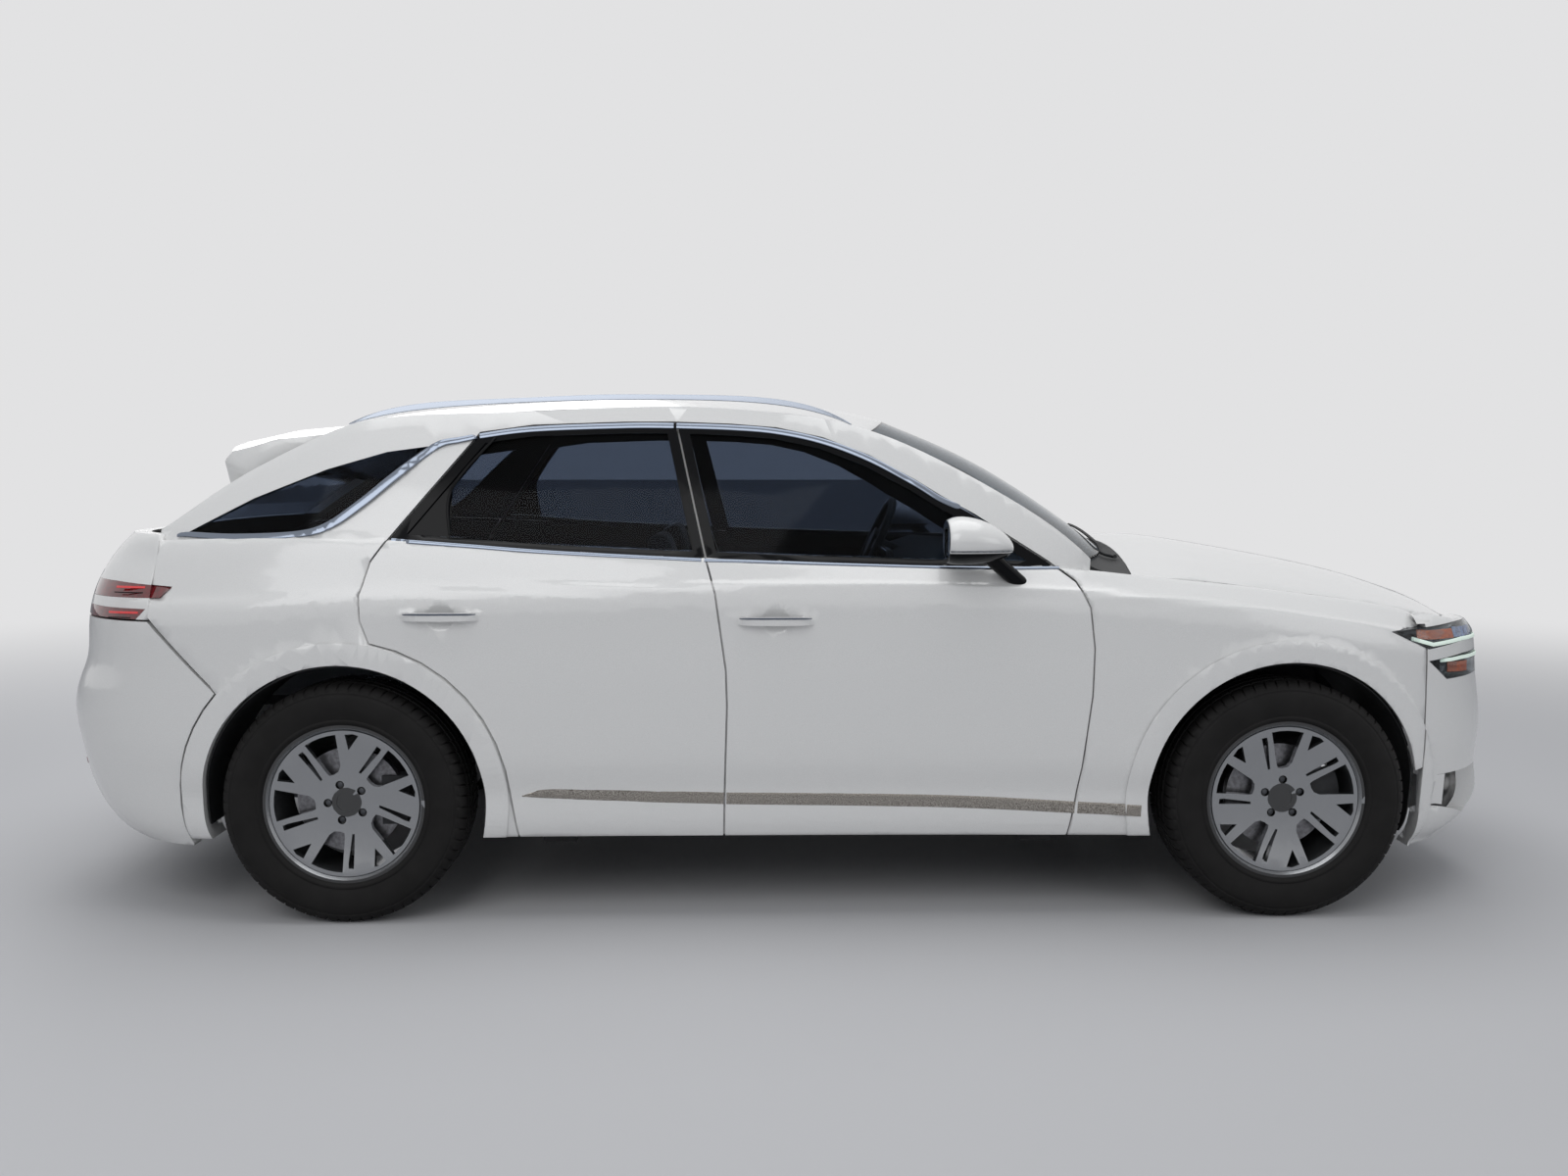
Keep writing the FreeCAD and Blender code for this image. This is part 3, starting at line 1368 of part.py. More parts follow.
# Front frame: two long rails with the bumper beam
rail_half_gap = 400.0
rail_wide = 64.0
rail_low_share = 0.27
rail_high_share = 0.33
rail_front_share = 1.80
front_frame = []
rail_x0 = along(0.845) + seat_gap
rail_x1 = along(rail_front_share)
for sign in (1, -1):
    y0 = sign * rail_half_gap
    y1 = sign * (rail_half_gap + rail_wide)
    front_frame.append(box(rail_x0, rail_x1, min(y0, y1), max(y0, y1), height * rail_low_share, height * rail_high_share))
front_frame.append(box(rail_x1 - 30, rail_x1 + 30, -560, 560, height * rail_low_share - 10, height * rail_high_share + 10))
radiator = box(
    rail_x1 - 110, rail_x1 - 60, seat_gap - rail_half_gap, rail_half_gap - seat_gap, height * 0.2, height * 0.45)
for sign in (1, -1):
    y0 = sign * rail_half_gap
    post = box(front_axle_x - 60, front_axle_x + 60, min(y0, y0 + sign * rail_wide), max(y0, y0 + sign * rail_wide),
               axle_height - knuckle_low - 40, height * rail_low_share)
    front_frame.append(post)
tow_bore = rod(tow_radius, Vector(rail_x1 - 30, tow_y, height * tow_share), Vector(length, tow_y, height * tow_share))
frame_solid = fused(front_frame).cut(front_axle).cut(tow_bore)
save("front_frame", frame_solid)
save("radiator", radiator)

# Engine and gearbox as one block on the subframe
engine = box(front_axle_x - 330, front_axle_x + 330, -330, 330, axle_height - knuckle_low + 10, height * 0.53)
save("engine", engine)

# Exhaust under the floor
exhaust_radius = 32.0
exhaust_bead = 2.0
exhaust_z = height * 0.165 + 60
exhaust_path = [
    Vector(along(0.84), 0, exhaust_z), Vector(along(0.30), 0, exhaust_z),
    Vector(along(0.16), 0, height * 0.20), Vector(along(-0.3), 0, height * 0.20),
]
pipes = [rod(exhaust_radius, a, b) for a, b in zip(exhaust_path, exhaust_path[1:])]
pipes += [Part.makeSphere(exhaust_radius + exhaust_bead, p) for p in exhaust_path[1:-1]]
silencer = box(along(-0.62), along(-0.3), -430, 430, height * 0.165, height * 0.235)
save("exhaust", fused(pipes + [silencer]))

# Dashboard, steering wheel and seats
dash_shares = [(0.80, 0.66), (0.66, 0.675), (0.60, 0.64), (0.60, 0.59), (0.66, 0.50), (0.70, 0.44), (0.832, 0.44), (0.832, 0.62)]
dash_half = 735.0
dash_outline = shares_to_places(dash_shares)
wire = Part.makePolygon([Vector(x, -dash_half, z) for x, z in dash_outline + dash_outline[:1]])
dash = Part.Face(wire).extrude(Vector(0, 2 * dash_half, 0))
console = box(along(0.40), along(0.70), -110, 110, height * 0.165 + tunnel_high + seat_gap, height * 0.37)
console_base = box(along(0.22), along(0.70), -110, 110, height * 0.165 + tunnel_high + seat_gap, height * 0.30)
dashboard = fused([dash, console, console_base]).cut(floor)
save("dashboard", dashboard)

wheel_ring_radius = 182.0
wheel_grip = 15.0
steering_center = Vector(along(0.595) , 370, height * 0.665)
steering_tilt = 24.0
ring = Part.makeTorus(wheel_ring_radius, wheel_grip)
hub_part = Part.makeCylinder(62, 44, Vector(0, 0, -26))
spokes = [box(-wheel_ring_radius, wheel_ring_radius, -20, 20, -12, 8), box(-16, 16, -wheel_ring_radius, 0, -12, 8)]
column = Part.makeCylinder(34, 190, Vector(0, 0, -200))
steering = fused([ring, hub_part, column] + spokes)
steering.rotate(Vector(0, 0, 0), Vector(0, 0, 1), -90)
steering.rotate(Vector(0, 0, 0), Vector(0, 1, 0), -90 + steering_tilt)
steering.translate(steering_center)
steering = steering.cut(dash)
steering = max(steering.Solids, key=lambda s: s.Volume)
save("steering_wheel", steering)

seat_half = 255.0
seat_y = 375.0
seat_shares = [
    (0.525, 0.275), (0.53, 0.335), (0.40, 0.325), (0.375, 0.345), (0.325, 0.60), (0.325, 0.68),
    (0.355, 0.70), (0.345, 0.72), (0.318, 0.72), (0.29, 0.62), (0.30, 0.50), (0.33, 0.275),
]
bench_shares = [
    (0.235, 0.30), (0.24, 0.375), (0.10, 0.365), (0.08, 0.385), (0.0, 0.64), (-0.03, 0.64),
    (0.01, 0.40), (0.03, 0.325),
]


def seat_block(table, y0, y1):
    places = shares_to_places(table)
    wire = Part.makePolygon([Vector(x, y0, z) for x, z in places + places[:1]])
    return Part.Face(wire).extrude(Vector(0, y1 - y0, 0))


front_seats = [seat_block(seat_shares, seat_y - seat_half, seat_y + seat_half)]
runner = box(along(0.345), along(0.50), seat_y - seat_half + 40, seat_y + seat_half - 40, height * 0.165 + floor_wall + seat_gap, height * 0.275)
front_seats = [fused([front_seats[0], runner])]
front_seats.append(mirrored(front_seats[0]))
save("front_seats", Part.makeCompound(front_seats))
bench = seat_block(bench_shares, -640, 640).cut(floor)
save("rear_seat", max(bench.Solids, key=lambda s: s.Volume))

# Roof rails stand on the roof sides
rail_shares = [(-0.035, 0.0), (0.03, 0.022), (0.12, 0.027), (0.26, 0.026), (0.40, 0.027), (0.48, 0.023), (0.54, 0.0)]
rail_wide_top = 26.0
rail_inset = 26.0
rail_thick = 18.0


def roof_rail():
    rows = []
    for s, rise in rail_shares:
        x = along(s)
        z = height_on(roof_edge_height_shares, x) + seat_gap
        y = half_width * read_line(roof_edge_width_shares, s) - rail_inset
        rows.append((x, y, z, z + height * rise))
    wires = []
    for x, y, z0, z1 in rows:
        top = max(z1, z0 + 4)
        low = max(z0, top - rail_thick)
        pts = [Vector(x, y - rail_wide_top / 2, low), Vector(x, y + rail_wide_top / 2, low),
               Vector(x, y + rail_wide_top / 2 - 4, top), Vector(x, y - rail_wide_top / 2 + 4, top)]
        wires.append(Part.makePolygon(pts + pts[:1]))
    return Part.makeLoft(wires, True, False)


rail = roof_rail().cut(layer(upper, -seat_gap, pillar_depth + 40).common(box(-length, length, 0, width, height * 0.9, height)))
rail = max(rail.Solids, key=lambda s: s.Volume)
save("roof_rails", Part.makeCompound([rail, mirrored(rail)]))
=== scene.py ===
"""Looks of a family sport utility car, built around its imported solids."""

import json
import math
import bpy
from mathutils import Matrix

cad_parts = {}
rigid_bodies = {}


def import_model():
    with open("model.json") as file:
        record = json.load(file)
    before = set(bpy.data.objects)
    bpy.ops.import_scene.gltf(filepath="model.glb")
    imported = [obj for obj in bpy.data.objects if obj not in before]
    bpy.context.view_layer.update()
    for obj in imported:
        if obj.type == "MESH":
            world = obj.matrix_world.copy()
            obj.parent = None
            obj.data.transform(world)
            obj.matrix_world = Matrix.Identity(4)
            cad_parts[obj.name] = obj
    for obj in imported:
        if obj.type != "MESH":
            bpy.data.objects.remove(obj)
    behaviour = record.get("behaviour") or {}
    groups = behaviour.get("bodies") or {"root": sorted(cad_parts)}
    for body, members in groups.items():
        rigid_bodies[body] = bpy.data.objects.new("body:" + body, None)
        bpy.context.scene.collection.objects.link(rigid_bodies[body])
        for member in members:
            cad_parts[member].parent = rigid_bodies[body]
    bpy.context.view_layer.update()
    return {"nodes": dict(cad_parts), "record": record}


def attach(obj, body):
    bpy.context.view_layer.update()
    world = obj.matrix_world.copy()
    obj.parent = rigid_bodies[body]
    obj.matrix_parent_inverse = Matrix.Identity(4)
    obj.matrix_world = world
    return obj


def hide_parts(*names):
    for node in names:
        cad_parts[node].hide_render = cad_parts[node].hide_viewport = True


bl_info = {
    "name": "Family sport utility car",
    "version": (1, 0, 0),
    "blender": (4, 5, 0),
    "location": "View3D > Sidebar > Car",
    "description": "Builds the visible surfaces of a five-door sport utility car",
    "category": "Object",
}

import bmesh
import bpy
from bpy.props import FloatProperty, PointerProperty, StringProperty
from mathutils import Matrix, Vector
from mathutils.bvhtree import BVHTree

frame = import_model()

NODES = frame["nodes"]
SLOT_OF = {part["node"]: part["material_slot"] for part in frame["record"]["subparts"]}
BODY_OF = {
    node: body
    for body, members in frame["record"]["behaviour"]["bodies"].items()
    for node in members
}
MM = 0.001
SIDE_SIGN = {"left": 1, "right": -1}
# Rays towards the car's right side start here, in metres
OUTSIDE_Y = -1.4


# Colours and material nodes


def linear(hex_colour):
    """Linear colour of an sRGB hex value."""
    values = []
    for k in (1, 3, 5):
        c = int(hex_colour[k:k + 2], 16) / 255
        values.append(c / 12.92 if c <= 0.04045 else ((c + 0.055) / 1.055) ** 2.4)
    return (*values, 1.0)


def shade(hex_colour, step):
    """A hex value with each channel moved by a step; a step that is a colour is taken as it is."""
    if isinstance(step, str):
        return step
    channels = [int(hex_colour[k:k + 2], 16) + step for k in (1, 3, 5)]
    return "#" + "".join("%02X" % min(255, max(0, value)) for value in channels)


def add_node(material, kind, settings=None, links=None):
    """Add one shader node, set its sockets and attributes, and link its inputs."""
    tree = material.node_tree
    node = tree.nodes.new(kind)
    for key, value in (settings or {}).items():
        if isinstance(key, str) and hasattr(node, key):
            setattr(node, key, value)
        else:
            node.inputs[key].default_value = value
    for key, source in (links or {}).items():
        tree.links.new(source, node.inputs[key])
    return node


def new_material(name, colour, sockets):
    """Material with one Principled shader; returns it with its shader node."""
    material = bpy.data.materials.new(name)
    material.use_nodes = True
    shader = material.node_tree.nodes["Principled BSDF"]
    shader.inputs["Base Color"].default_value = linear(colour)
    for key, value in sockets.items():
        shader.inputs[key].default_value = value
    return material, shader


def object_coordinates(material):
    """Place on the object's own surface."""
    return add_node(material, "ShaderNodeTexCoord").outputs["Object"]


def noise_value(material, scale, detail):
    """Noise over the object's surface."""
    return add_node(
        material, "ShaderNodeTexNoise", {"Scale": scale, "Detail": detail},
        {"Vector": object_coordinates(material)},
    ).outputs["Fac"]


def vary_colour(material, shader, scale, first, second, detail):
    """Noise between two close colours."""
    ramp = add_node(
        material, "ShaderNodeValToRGB", links={"Fac": noise_value(material, scale, detail)},
    )
    for element, place, colour in zip(ramp.color_ramp.elements, (0.35, 0.65), (first, second)):
        element.position = place
        element.color = linear(colour)
    material.node_tree.links.new(ramp.outputs["Color"], shader.inputs["Base Color"])


def add_bump(material, shader, scale, strength, distance, detail):
    """Fine relief from noise."""
    bump = add_node(
        material, "ShaderNodeBump", {"Strength": strength, "Distance": distance},
        {"Height": noise_value(material, scale, detail)},
    )
    material.node_tree.links.new(bump.outputs["Normal"], shader.inputs["Normal"])


# Finishes: key, name of the real one, colour or its property, shader sockets, change of tone
# (scale, two colours or steps from the colour, detail) and relief (scale, strength, distance in
# metres, detail)
FINISHES = (
    # Three-coat pearl enamel: a white base under clear lacquer, with a slow change of tone
    (
        "paint", "pearl_enamel", "paint_hex",
        {"Roughness": 0.32, "Coat Weight": 1.0, "Coat Roughness": 0.09, "Specular IOR Level": 0.5},
        (900.0, -6, 5, 1.0), None,
    ),
    # Dark privacy glass, tinted through: almost black from outside
    (
        "glass_dark", "privacy_glass", "#868F9D",
        {"Roughness": 0.0, "IOR": 1.13, "Transmission Weight": 1.0}, None, None,
    ),
    # Green-grey laminated windscreen glass
    (
        "glass_clear", "laminated_glass", "#7F8C96",
        {"Roughness": 0.0, "IOR": 1.08, "Transmission Weight": 1.0}, None, None,
    ),
    # Clear polycarbonate lamp cover, smooth and slightly smoky
    (
        "lamp_clear", "lamp_polycarbonate", "#E4E8EA",
        {"Roughness": 0.02, "IOR": 1.3, "Transmission Weight": 1.0}, None, None,
    ),
    # Red acrylic over the tail lights, deep colour under a hard gloss
    (
        "lamp_red", "red_acrylic", "#660812",
        {"Roughness": 0.08, "Coat Weight": 1.0, "Coat Roughness": 0.02},
        (60.0, "#58060E", "#740B16", 1.0), None,
    ),
    # Carbon-filled tyre rubber, moulded: a dull black with a faint bloom
    (
        "tyre", "tyre_rubber", "#101010", {"Roughness": 0.7, "Specular IOR Level": 0.25},
        (14.0, "#0C0B0B", "#141313", 3.0), (700.0, 0.12, 0.0006, 2.0),
    ),
    # Cast alloy, silver lacquer with fine flake
    (
        "alloy", "silver_alloy", "#97999C",
        {"Roughness": 0.27, "Metallic": 0.9, "Coat Weight": 0.5, "Coat Roughness": 0.08},
        (1500.0, "#8E9093", "#A0A2A5", 1.0), None,
    ),
    # Grained polypropylene trim, moulded and unpainted
    (
        "black_plastic", "grained_polypropylene", "#17181A", {"Roughness": 0.62},
        (40.0, "#141517", "#1C1D1F", 3.0), (900.0, 0.2, 0.0004, 2.0),
    ),
    # Piano black ABS, moulded and lacquered
    (
        "gloss_black", "piano_black_abs", "#06070A",
        {"Roughness": 0.12, "Specular IOR Level": 0.12}, None, (30.0, 0.01, 0.0005, 2.0),
    ),
    # Chrome plate on the trim strips
    (
        "chrome", "chrome_plate", "#7F8794", {"Roughness": 0.14, "Metallic": 1.0},
        None, (200.0, 0.01, 0.0004, 2.0),
    ),
    # Satin anodised aluminium, drawn and brushed
    (
        "rails", "anodised_aluminium", "rail_hex", {"Roughness": 0.25, "Metallic": 1.0},
        None, (800.0, 0.05, 0.0004, 2.0),
    ),
    # Steel with a dark protective coat, sprayed; on the wheel nuts its darkness is partly painted
    # shade
    (
        "steel", "coated_steel_and_nut_shade", "#4A4C50", {"Roughness": 0.5, "Metallic": 0.7},
        (25.0, "#424448", "#55575B", 3.0), None,
    ),
    # Cast iron and pressed steel under stone-chip coating
    (
        "cast", "stone_chip_coating", "#232427", {"Roughness": 0.7},
        (30.0, "#1D1E21", "#2B2C2F", 3.0), (300.0, 0.3, 0.0008, 2.0),
    ),
    # Black seat leather, grained
    (
        "leather", "grained_leather", "leather_hex", {"Roughness": 0.5},
        (20.0, -4, 7, 3.0), (450.0, 0.35, 0.0007, 6.0),
    ),
    # Slush-moulded vinyl of the dashboard and the door linings, finely grained
    (
        "vinyl", "moulded_vinyl", "#1A1A1C", {"Roughness": 0.6},
        (25.0, "#161618", "#1F1F21", 3.0), (650.0, 0.3, 0.0005, 4.0),
    ),
    # Knitted roof lining, dark grey
    (
        "lining", "knitted_lining", "#2B2B2D", {"Roughness": 0.95, "Sheen Weight": 0.2},
        (500.0, "#262628", "#313133", 2.0), (1200.0, 0.4, 0.0005, 2.0),
    ),
    # Tufted carpet, black
    (
        "carpet", "tufted_carpet", "#121213", {"Roughness": 1.0, "Sheen Weight": 0.3},
        (300.0, "#0E0E0F", "#18181A", 3.0), (350.0, 0.7, 0.002, 4.0),
    ),
    # Silvered mirror glass
    (
        "mirror_glass", "silvered_glass", "#D5D8DB", {"Roughness": 0.02, "Metallic": 1.0},
        None, (5.0, 0.005, 0.0005, 2.0),
    ),
    # Unlit display behind anti-glare glass
    (
        "display", "display_glass", "#08090B",
        {"Roughness": 0.15, "Coat Weight": 1.0, "Coat Roughness": 0.05},
        (10.0, "#070809", "#0A0B0E", 1.0), None,
    ),
    # Dark chromed reflector behind the lamp cover
    (
        "lamp_bucket", "lamp_bucket", "#3A3E44", {"Roughness": 0.18, "Metallic": 0.9},
        (80.0, "#2C3036", "#4A5058", 1.0), None,
    ),
    # Frosted light guide, pale green white when unlit, with a faint painted glow
    (
        "light_guide", "frosted_light_guide_painted_glow", "#E4F2E8",
        {"Roughness": 0.35, "Emission Color": linear("#DFF3E6"), "Emission Strength": 0.25},
        None, (900.0, 0.1, 0.0004, 2.0),
    ),
    # Orange acrylic of the turn signal
    (
        "amber_acrylic", "amber_acrylic", "#C2561C", {"Roughness": 0.15, "Coat Weight": 1.0},
        (200.0, "#A8461A", "#D0662A", 1.0), None,
    ),
    # Blue anti-glare film on the lamp's inner lens
    (
        "coated_lens", "coated_lens", "#3F5F96",
        {"Roughness": 0.08, "Metallic": 0.6, "Coat Weight": 1.0},
        (60.0, "#2F4A80", "#7A93BE", 1.0), None,
    ),
    # Red guide inside the tail lamp, made brighter by a painted glow
    (
        "tail_guide", "red_light_guide_painted_glow", "#D8262A",
        {
            "Roughness": 0.2, "Coat Weight": 1.0, "Emission Color": linear("#C81A1E"),
            "Emission Strength": 0.15,
        },
        None, (900.0, 0.1, 0.0003, 2.0),
    ),
    # Smoked indicator strip on the mirror
    (
        "indicator_grey", "smoked_indicator", "#6E7276", {"Roughness": 0.12, "Coat Weight": 1.0},
        (120.0, "#5C6064", "#83878B", 1.0), None,
    ),
    # Chrome plate near the road, with dark specks that are partly road dust and partly a painted
    # reflection of what it mirrors
    (
        "sill_chrome", "dust_and_painted_reflection_chrome", "#8C857C", {"Roughness": 0.2, "Metallic": 1.0},
        (380.0, "#5A544D", "#C9C4BC", 6.0), (500.0, 0.15, 0.0006, 4.0),
    ),
    # Turned brake disc: grey iron
    (
        "disc_iron", "turned_iron", "#77777A", {"Roughness": 0.35, "Metallic": 0.9},
        (90.0, "#6A6A6D", "#86868A", 3.0), None,
    ),
    # Lacquered black wheel cap; the same black paints the shade on the walls of the lug recesses
    (
        "cap_black_and_painted_shade", "cap_lacquer", "#1A1B1D", {"Roughness": 0.25, "Coat Weight": 1.0},
        None, (200.0, 0.02, 0.0004, 2.0),
    ),
    # Bright zinc plate on a lamp's reflector
    (
        "zinc_steel", "zinc_steel", "#A7A8AB", {"Roughness": 0.25, "Metallic": 1.0},
        None, (900.0, 0.06, 0.0003, 2.0),
    ),
    # Satin dark chrome of the grille's mesh
    (
        "grille_dark", "dark_chrome", "#3C3D40", {"Roughness": 0.22, "Metallic": 0.9},
        None, (300.0, 0.03, 0.0004, 2.0),
    ),
)
MATERIALS = {}
# Where a slot's finish has another key than the slot
SLOT_FINISH = {"glass": "glass_dark"}


def make_materials(colours):
    """Build every finish of the table."""
    for key, name, colour, sockets, tone, relief in FINISHES:
        if colour.endswith("_hex"):
            colour = getattr(colours, colour)
        material, shader = new_material(name, colour, sockets)
        if tone:
            scale, first, second, detail = tone
            vary_colour(
                material, shader, scale, shade(colour, first), shade(colour, second), detail,
            )
        if relief:
            add_bump(material, shader, *relief)
        MATERIALS[key] = material


# Mesh helpers


def sizes():
    """The add-on's sizes."""
    return bpy.context.scene.suv_sizes


def deselect_all():
    """Clear the selection."""
    for obj in bpy.data.objects:
        obj.select_set(False)


def make_active(obj):
    """Select one object alone."""
    deselect_all()
    obj.select_set(True)
    bpy.context.view_layer.objects.active = obj


def smooth_by_angle(obj, degrees=30.0):
    """Shade smooth, with edges over an angle kept sharp."""
    make_active(obj)
    bpy.ops.object.shade_smooth_by_angle(angle=math.radians(degrees))


def apply_modifier(obj, name, kind, **settings):
    """Add a modifier, set it and apply it."""
    modifier = obj.modifiers.new(name, kind)
    for key, value in settings.items():
        setattr(modifier, key, value)
    make_active(obj)
    bpy.ops.object.modifier_apply(modifier=name)


def new_piece(name, mesh, material, body):
    """Link a mesh as a piece that rides on a body."""
    obj = bpy.data.objects.new(name, mesh)
    bpy.context.scene.collection.objects.link(obj)
    obj.data.materials.clear()
    obj.data.materials.append(MATERIALS[material])
    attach(obj, body)
    return obj


def clean_mesh(node, flat_merge=False):
    """Copy of a CAD node's mesh with its doubles merged."""
    mesh = NODES[node].data.copy()
    shape = bmesh.new()
    shape.from_mesh(mesh)
    bmesh.ops.remove_doubles(shape, verts=shape.verts, dist=0.00002)
    if flat_merge:
        bmesh.ops.dissolve_limit(
            shape, angle_limit=math.radians(0.5), verts=shape.verts, edges=shape.edges,
        )
    shape.to_mesh(mesh)
    shape.free()
    return mesh


def dress_node(node, material=None, angle=30.0, soften=0.0):
    """Smooth copy of a CAD node in its finish, standing for the node."""
    slot = SLOT_OF[node]
    mesh = clean_mesh(node, soften > 0)
    material = material or SLOT_FINISH.get(slot, slot)
    piece = new_piece("look_" + node, mesh, material, BODY_OF[node])
    if soften > 0:
        apply_modifier(
            piece, "soft_edges", "BEVEL", width=soften * MM, segments=2, limit_method="ANGLE",
            angle_limit=math.radians(40),
        )
        angle = 40.0
    smooth_by_angle(piece, angle)
    apply_modifier(piece, "even_shade", "WEIGHTED_NORMAL", keep_sharp=True, weight=80)
    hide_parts(node)
    return piece


def cut_faces(piece, place, normal):
    """Cut a piece's faces along a plane, keeping both sides."""
    shape = bmesh.new()
    shape.from_mesh(piece.data)
    bmesh.ops.bisect_plane(
        shape, geom=shape.verts[:] + shape.edges[:] + shape.faces[:], dist=0.00001,
        plane_co=place, plane_no=normal,
    )
    shape.to_mesh(piece.data)
    shape.free()


def finish_faces(piece, material, test):
    """Give the faces that pass a test, from their middle in millimetres and normal, a finish."""
    piece.data.materials.append(MATERIALS[material])
    slot = len(piece.data.materials) - 1
    for face in piece.data.polygons:
        if test(face.center / MM, face.normal):
            face.material_index = slot


def value_on(line, x):
    """Value of a line of (x, value) points at one place."""
    if x <= line[0][0]:
        return line[0][1]
    for start, end in zip(line, line[1:]):
        if x <= end[0]:
            return start[1] + (end[1] - start[1]) * (x - start[0]) / (end[0] - start[0])
    return line[-1][1]


def skin_tree(*nodes):
    """Search tree over the surfaces of some CAD nodes."""
    verts = []
    faces = []
    for node in nodes:
        mesh = NODES[node].data
        base = len(verts)
        verts += [vert.co.copy() for vert in mesh.vertices]
        faces += [[base + k for k in face.vertices] for face in mesh.polygons]
    return BVHTree.FromPolygons(verts, faces)


def skin_point(tree, start, direction):
    """Where a ray first meets the skin, with the normal that faces it, or None."""
    place, normal = tree.ray_cast(start, direction)[:2]
    if place is None:
        return None
    return place, normal if normal.dot(direction) < 0 else -normal


def side_point(tree, x, z):
    """Place and normal of the car's right side at a place in side view, or None."""
    return skin_point(tree, Vector((x * MM, OUTSIDE_Y, z * MM)), Vector((0, 1, 0)))


def rounded_line(points, step):
    """Points along a smooth curve through the given ones, about one step apart."""
    result = []
    for k in range(len(points) - 1):
        before = Vector(points[max(k - 1, 0)])
        start = Vector(points[k])
        end = Vector(points[k + 1])
        after = Vector(points[min(k + 2, len(points) - 1)])
        count = max(1, round((end - start).length / step))
        for n in range(count):
            t = n / count
            result.append(0.5 * (
                2 * start + (end - before) * t
                + (2 * before - 5 * start + 4 * end - after) * t**2
                + (3 * start - before - 3 * end + after) * t**3
            ))
    result.append(Vector(points[-1]))
    return result


def side_samples(tree, line, step):
    """Places and outward normals on the car's right side under a line of (x, z, width) points."""
    points = rounded_line(line, step)
    found = [side_point(tree, x, z) for x, z, width in points]
    known = [k for k, spot in enumerate(found) if spot]
    samples = []
    for k, (x, z, width) in enumerate(points):
        if found[k]:
            samples.append([*found[k], width])
        else:
            place, normal = found[min(known, key=lambda n: abs(n - k))]
            samples.append([Vector((x * MM, place.y, z * MM)), normal, width])
    return samples


def even_samples(samples, reach=3):
    """Average the normals of neighbouring samples, and their depth on the car's side."""
    result = []
    for k, (place, normal, width) in enumerate(samples):
        span = samples[max(0, k - reach):k + reach + 1]
        mean = sum((item[1] for item in span), Vector((0, 0, 0))).normalized()
        depth = min(item[0].y for item in span) if mean.y < -0.5 else place.y
        result.append([Vector((place.x, 0.5 * (depth + place.y), place.z)), mean, width])
    return result


# Strip sections: place across, as a share of the width, and height in millimetres
TRIM_SECTION = (
    (-0.50, -1.5), (-0.50, 0.8), (-0.42, 1.9), (-0.25, 2.7), (0.0, 3.0), (0.25, 2.7), (0.42, 1.9),
    (0.50, 0.8), (0.50, -1.5),
)
FLAT_SECTION = (
    (-0.50, -1.0), (-0.50, 0.5), (-0.46, 0.9), (0.46, 0.9), (0.50, 0.5), (0.50, -1.0),
)


def right_way_out(mesh):
    """Point every face of a closed mesh outwards."""
    shape = bmesh.new()
    shape.from_mesh(mesh)
    bmesh.ops.recalc_face_normals(shape, faces=shape.faces)
    shape.to_mesh(mesh)
    shape.free()


def closed_mesh(name, verts, faces):
    """Mesh from points and faces, with its faces outwards."""
    mesh = bpy.data.meshes.new(name)
    mesh.from_pydata(verts, [], faces)
    right_way_out(mesh)
    return mesh


def ring_mesh(name, rings):
    """Closed skin over rings that have equally many points."""
    count = len(rings[0])
    verts = [point for ring in rings for point in ring]
    faces = []
    for k in range(len(rings) - 1):
        for n in range(count):
            m = (n + 1) % count
            a = k * count
            faces.append((a + n, a + m, a + count + m, a + count + n))
    faces.append(tuple(range(count)))
    faces.append(tuple(range(len(verts) - count, len(verts))))
    return closed_mesh(name, verts, faces)


def strip_mesh(samples, section=TRIM_SECTION, lift=0.0):
    """Strip with one section, laid along samples of place, normal and width."""
    rings = []
    for k, (place, normal, width) in enumerate(samples):
        ahead = samples[min(k + 1, len(samples) - 1)][0] - samples[max(k - 1, 0)][0]
        across = ahead.cross(normal).normalized()
        rings.append([
            place + across * (u * width * MM) + normal * ((v + lift) * MM) for u, v in section
        ])
    return ring_mesh("strip", rings)


def tube_mesh(points, radius, sides=10):
    """Round bar along points in metres; its radius may depend on the share of the way."""
    rings = []
    side = Vector((0, 0, 1))
    for k, place in enumerate(points):
        ahead = points[min(k + 1, len(points) - 1)] - points[max(k - 1, 0)]
        ahead.normalize()
        if abs(ahead.dot(side)) > 0.95:
            side = Vector((0, 1, 0))
        first = ahead.cross(side).normalized()
        second = ahead.cross(first).normalized()
        size = radius(k / (len(points) - 1)) if callable(radius) else radius
        turns = [2 * math.pi * n / sides for n in range(sides)]
        rings.append([
            place + (first * math.cos(turn) + second * math.sin(turn)) * size for turn in turns
        ])
    return ring_mesh("tube", rings)


def join_meshes(name, meshes):
    """One mesh from several."""
    verts = []
    faces = []
    for mesh in meshes:
        base = len(verts)
        verts += [vert.co.copy() for vert in mesh.vertices]
        faces += [[base + k for k in face.vertices] for face in mesh.polygons]
    joined = bpy.data.meshes.new(name)
    joined.from_pydata(verts, [], faces)
    return joined


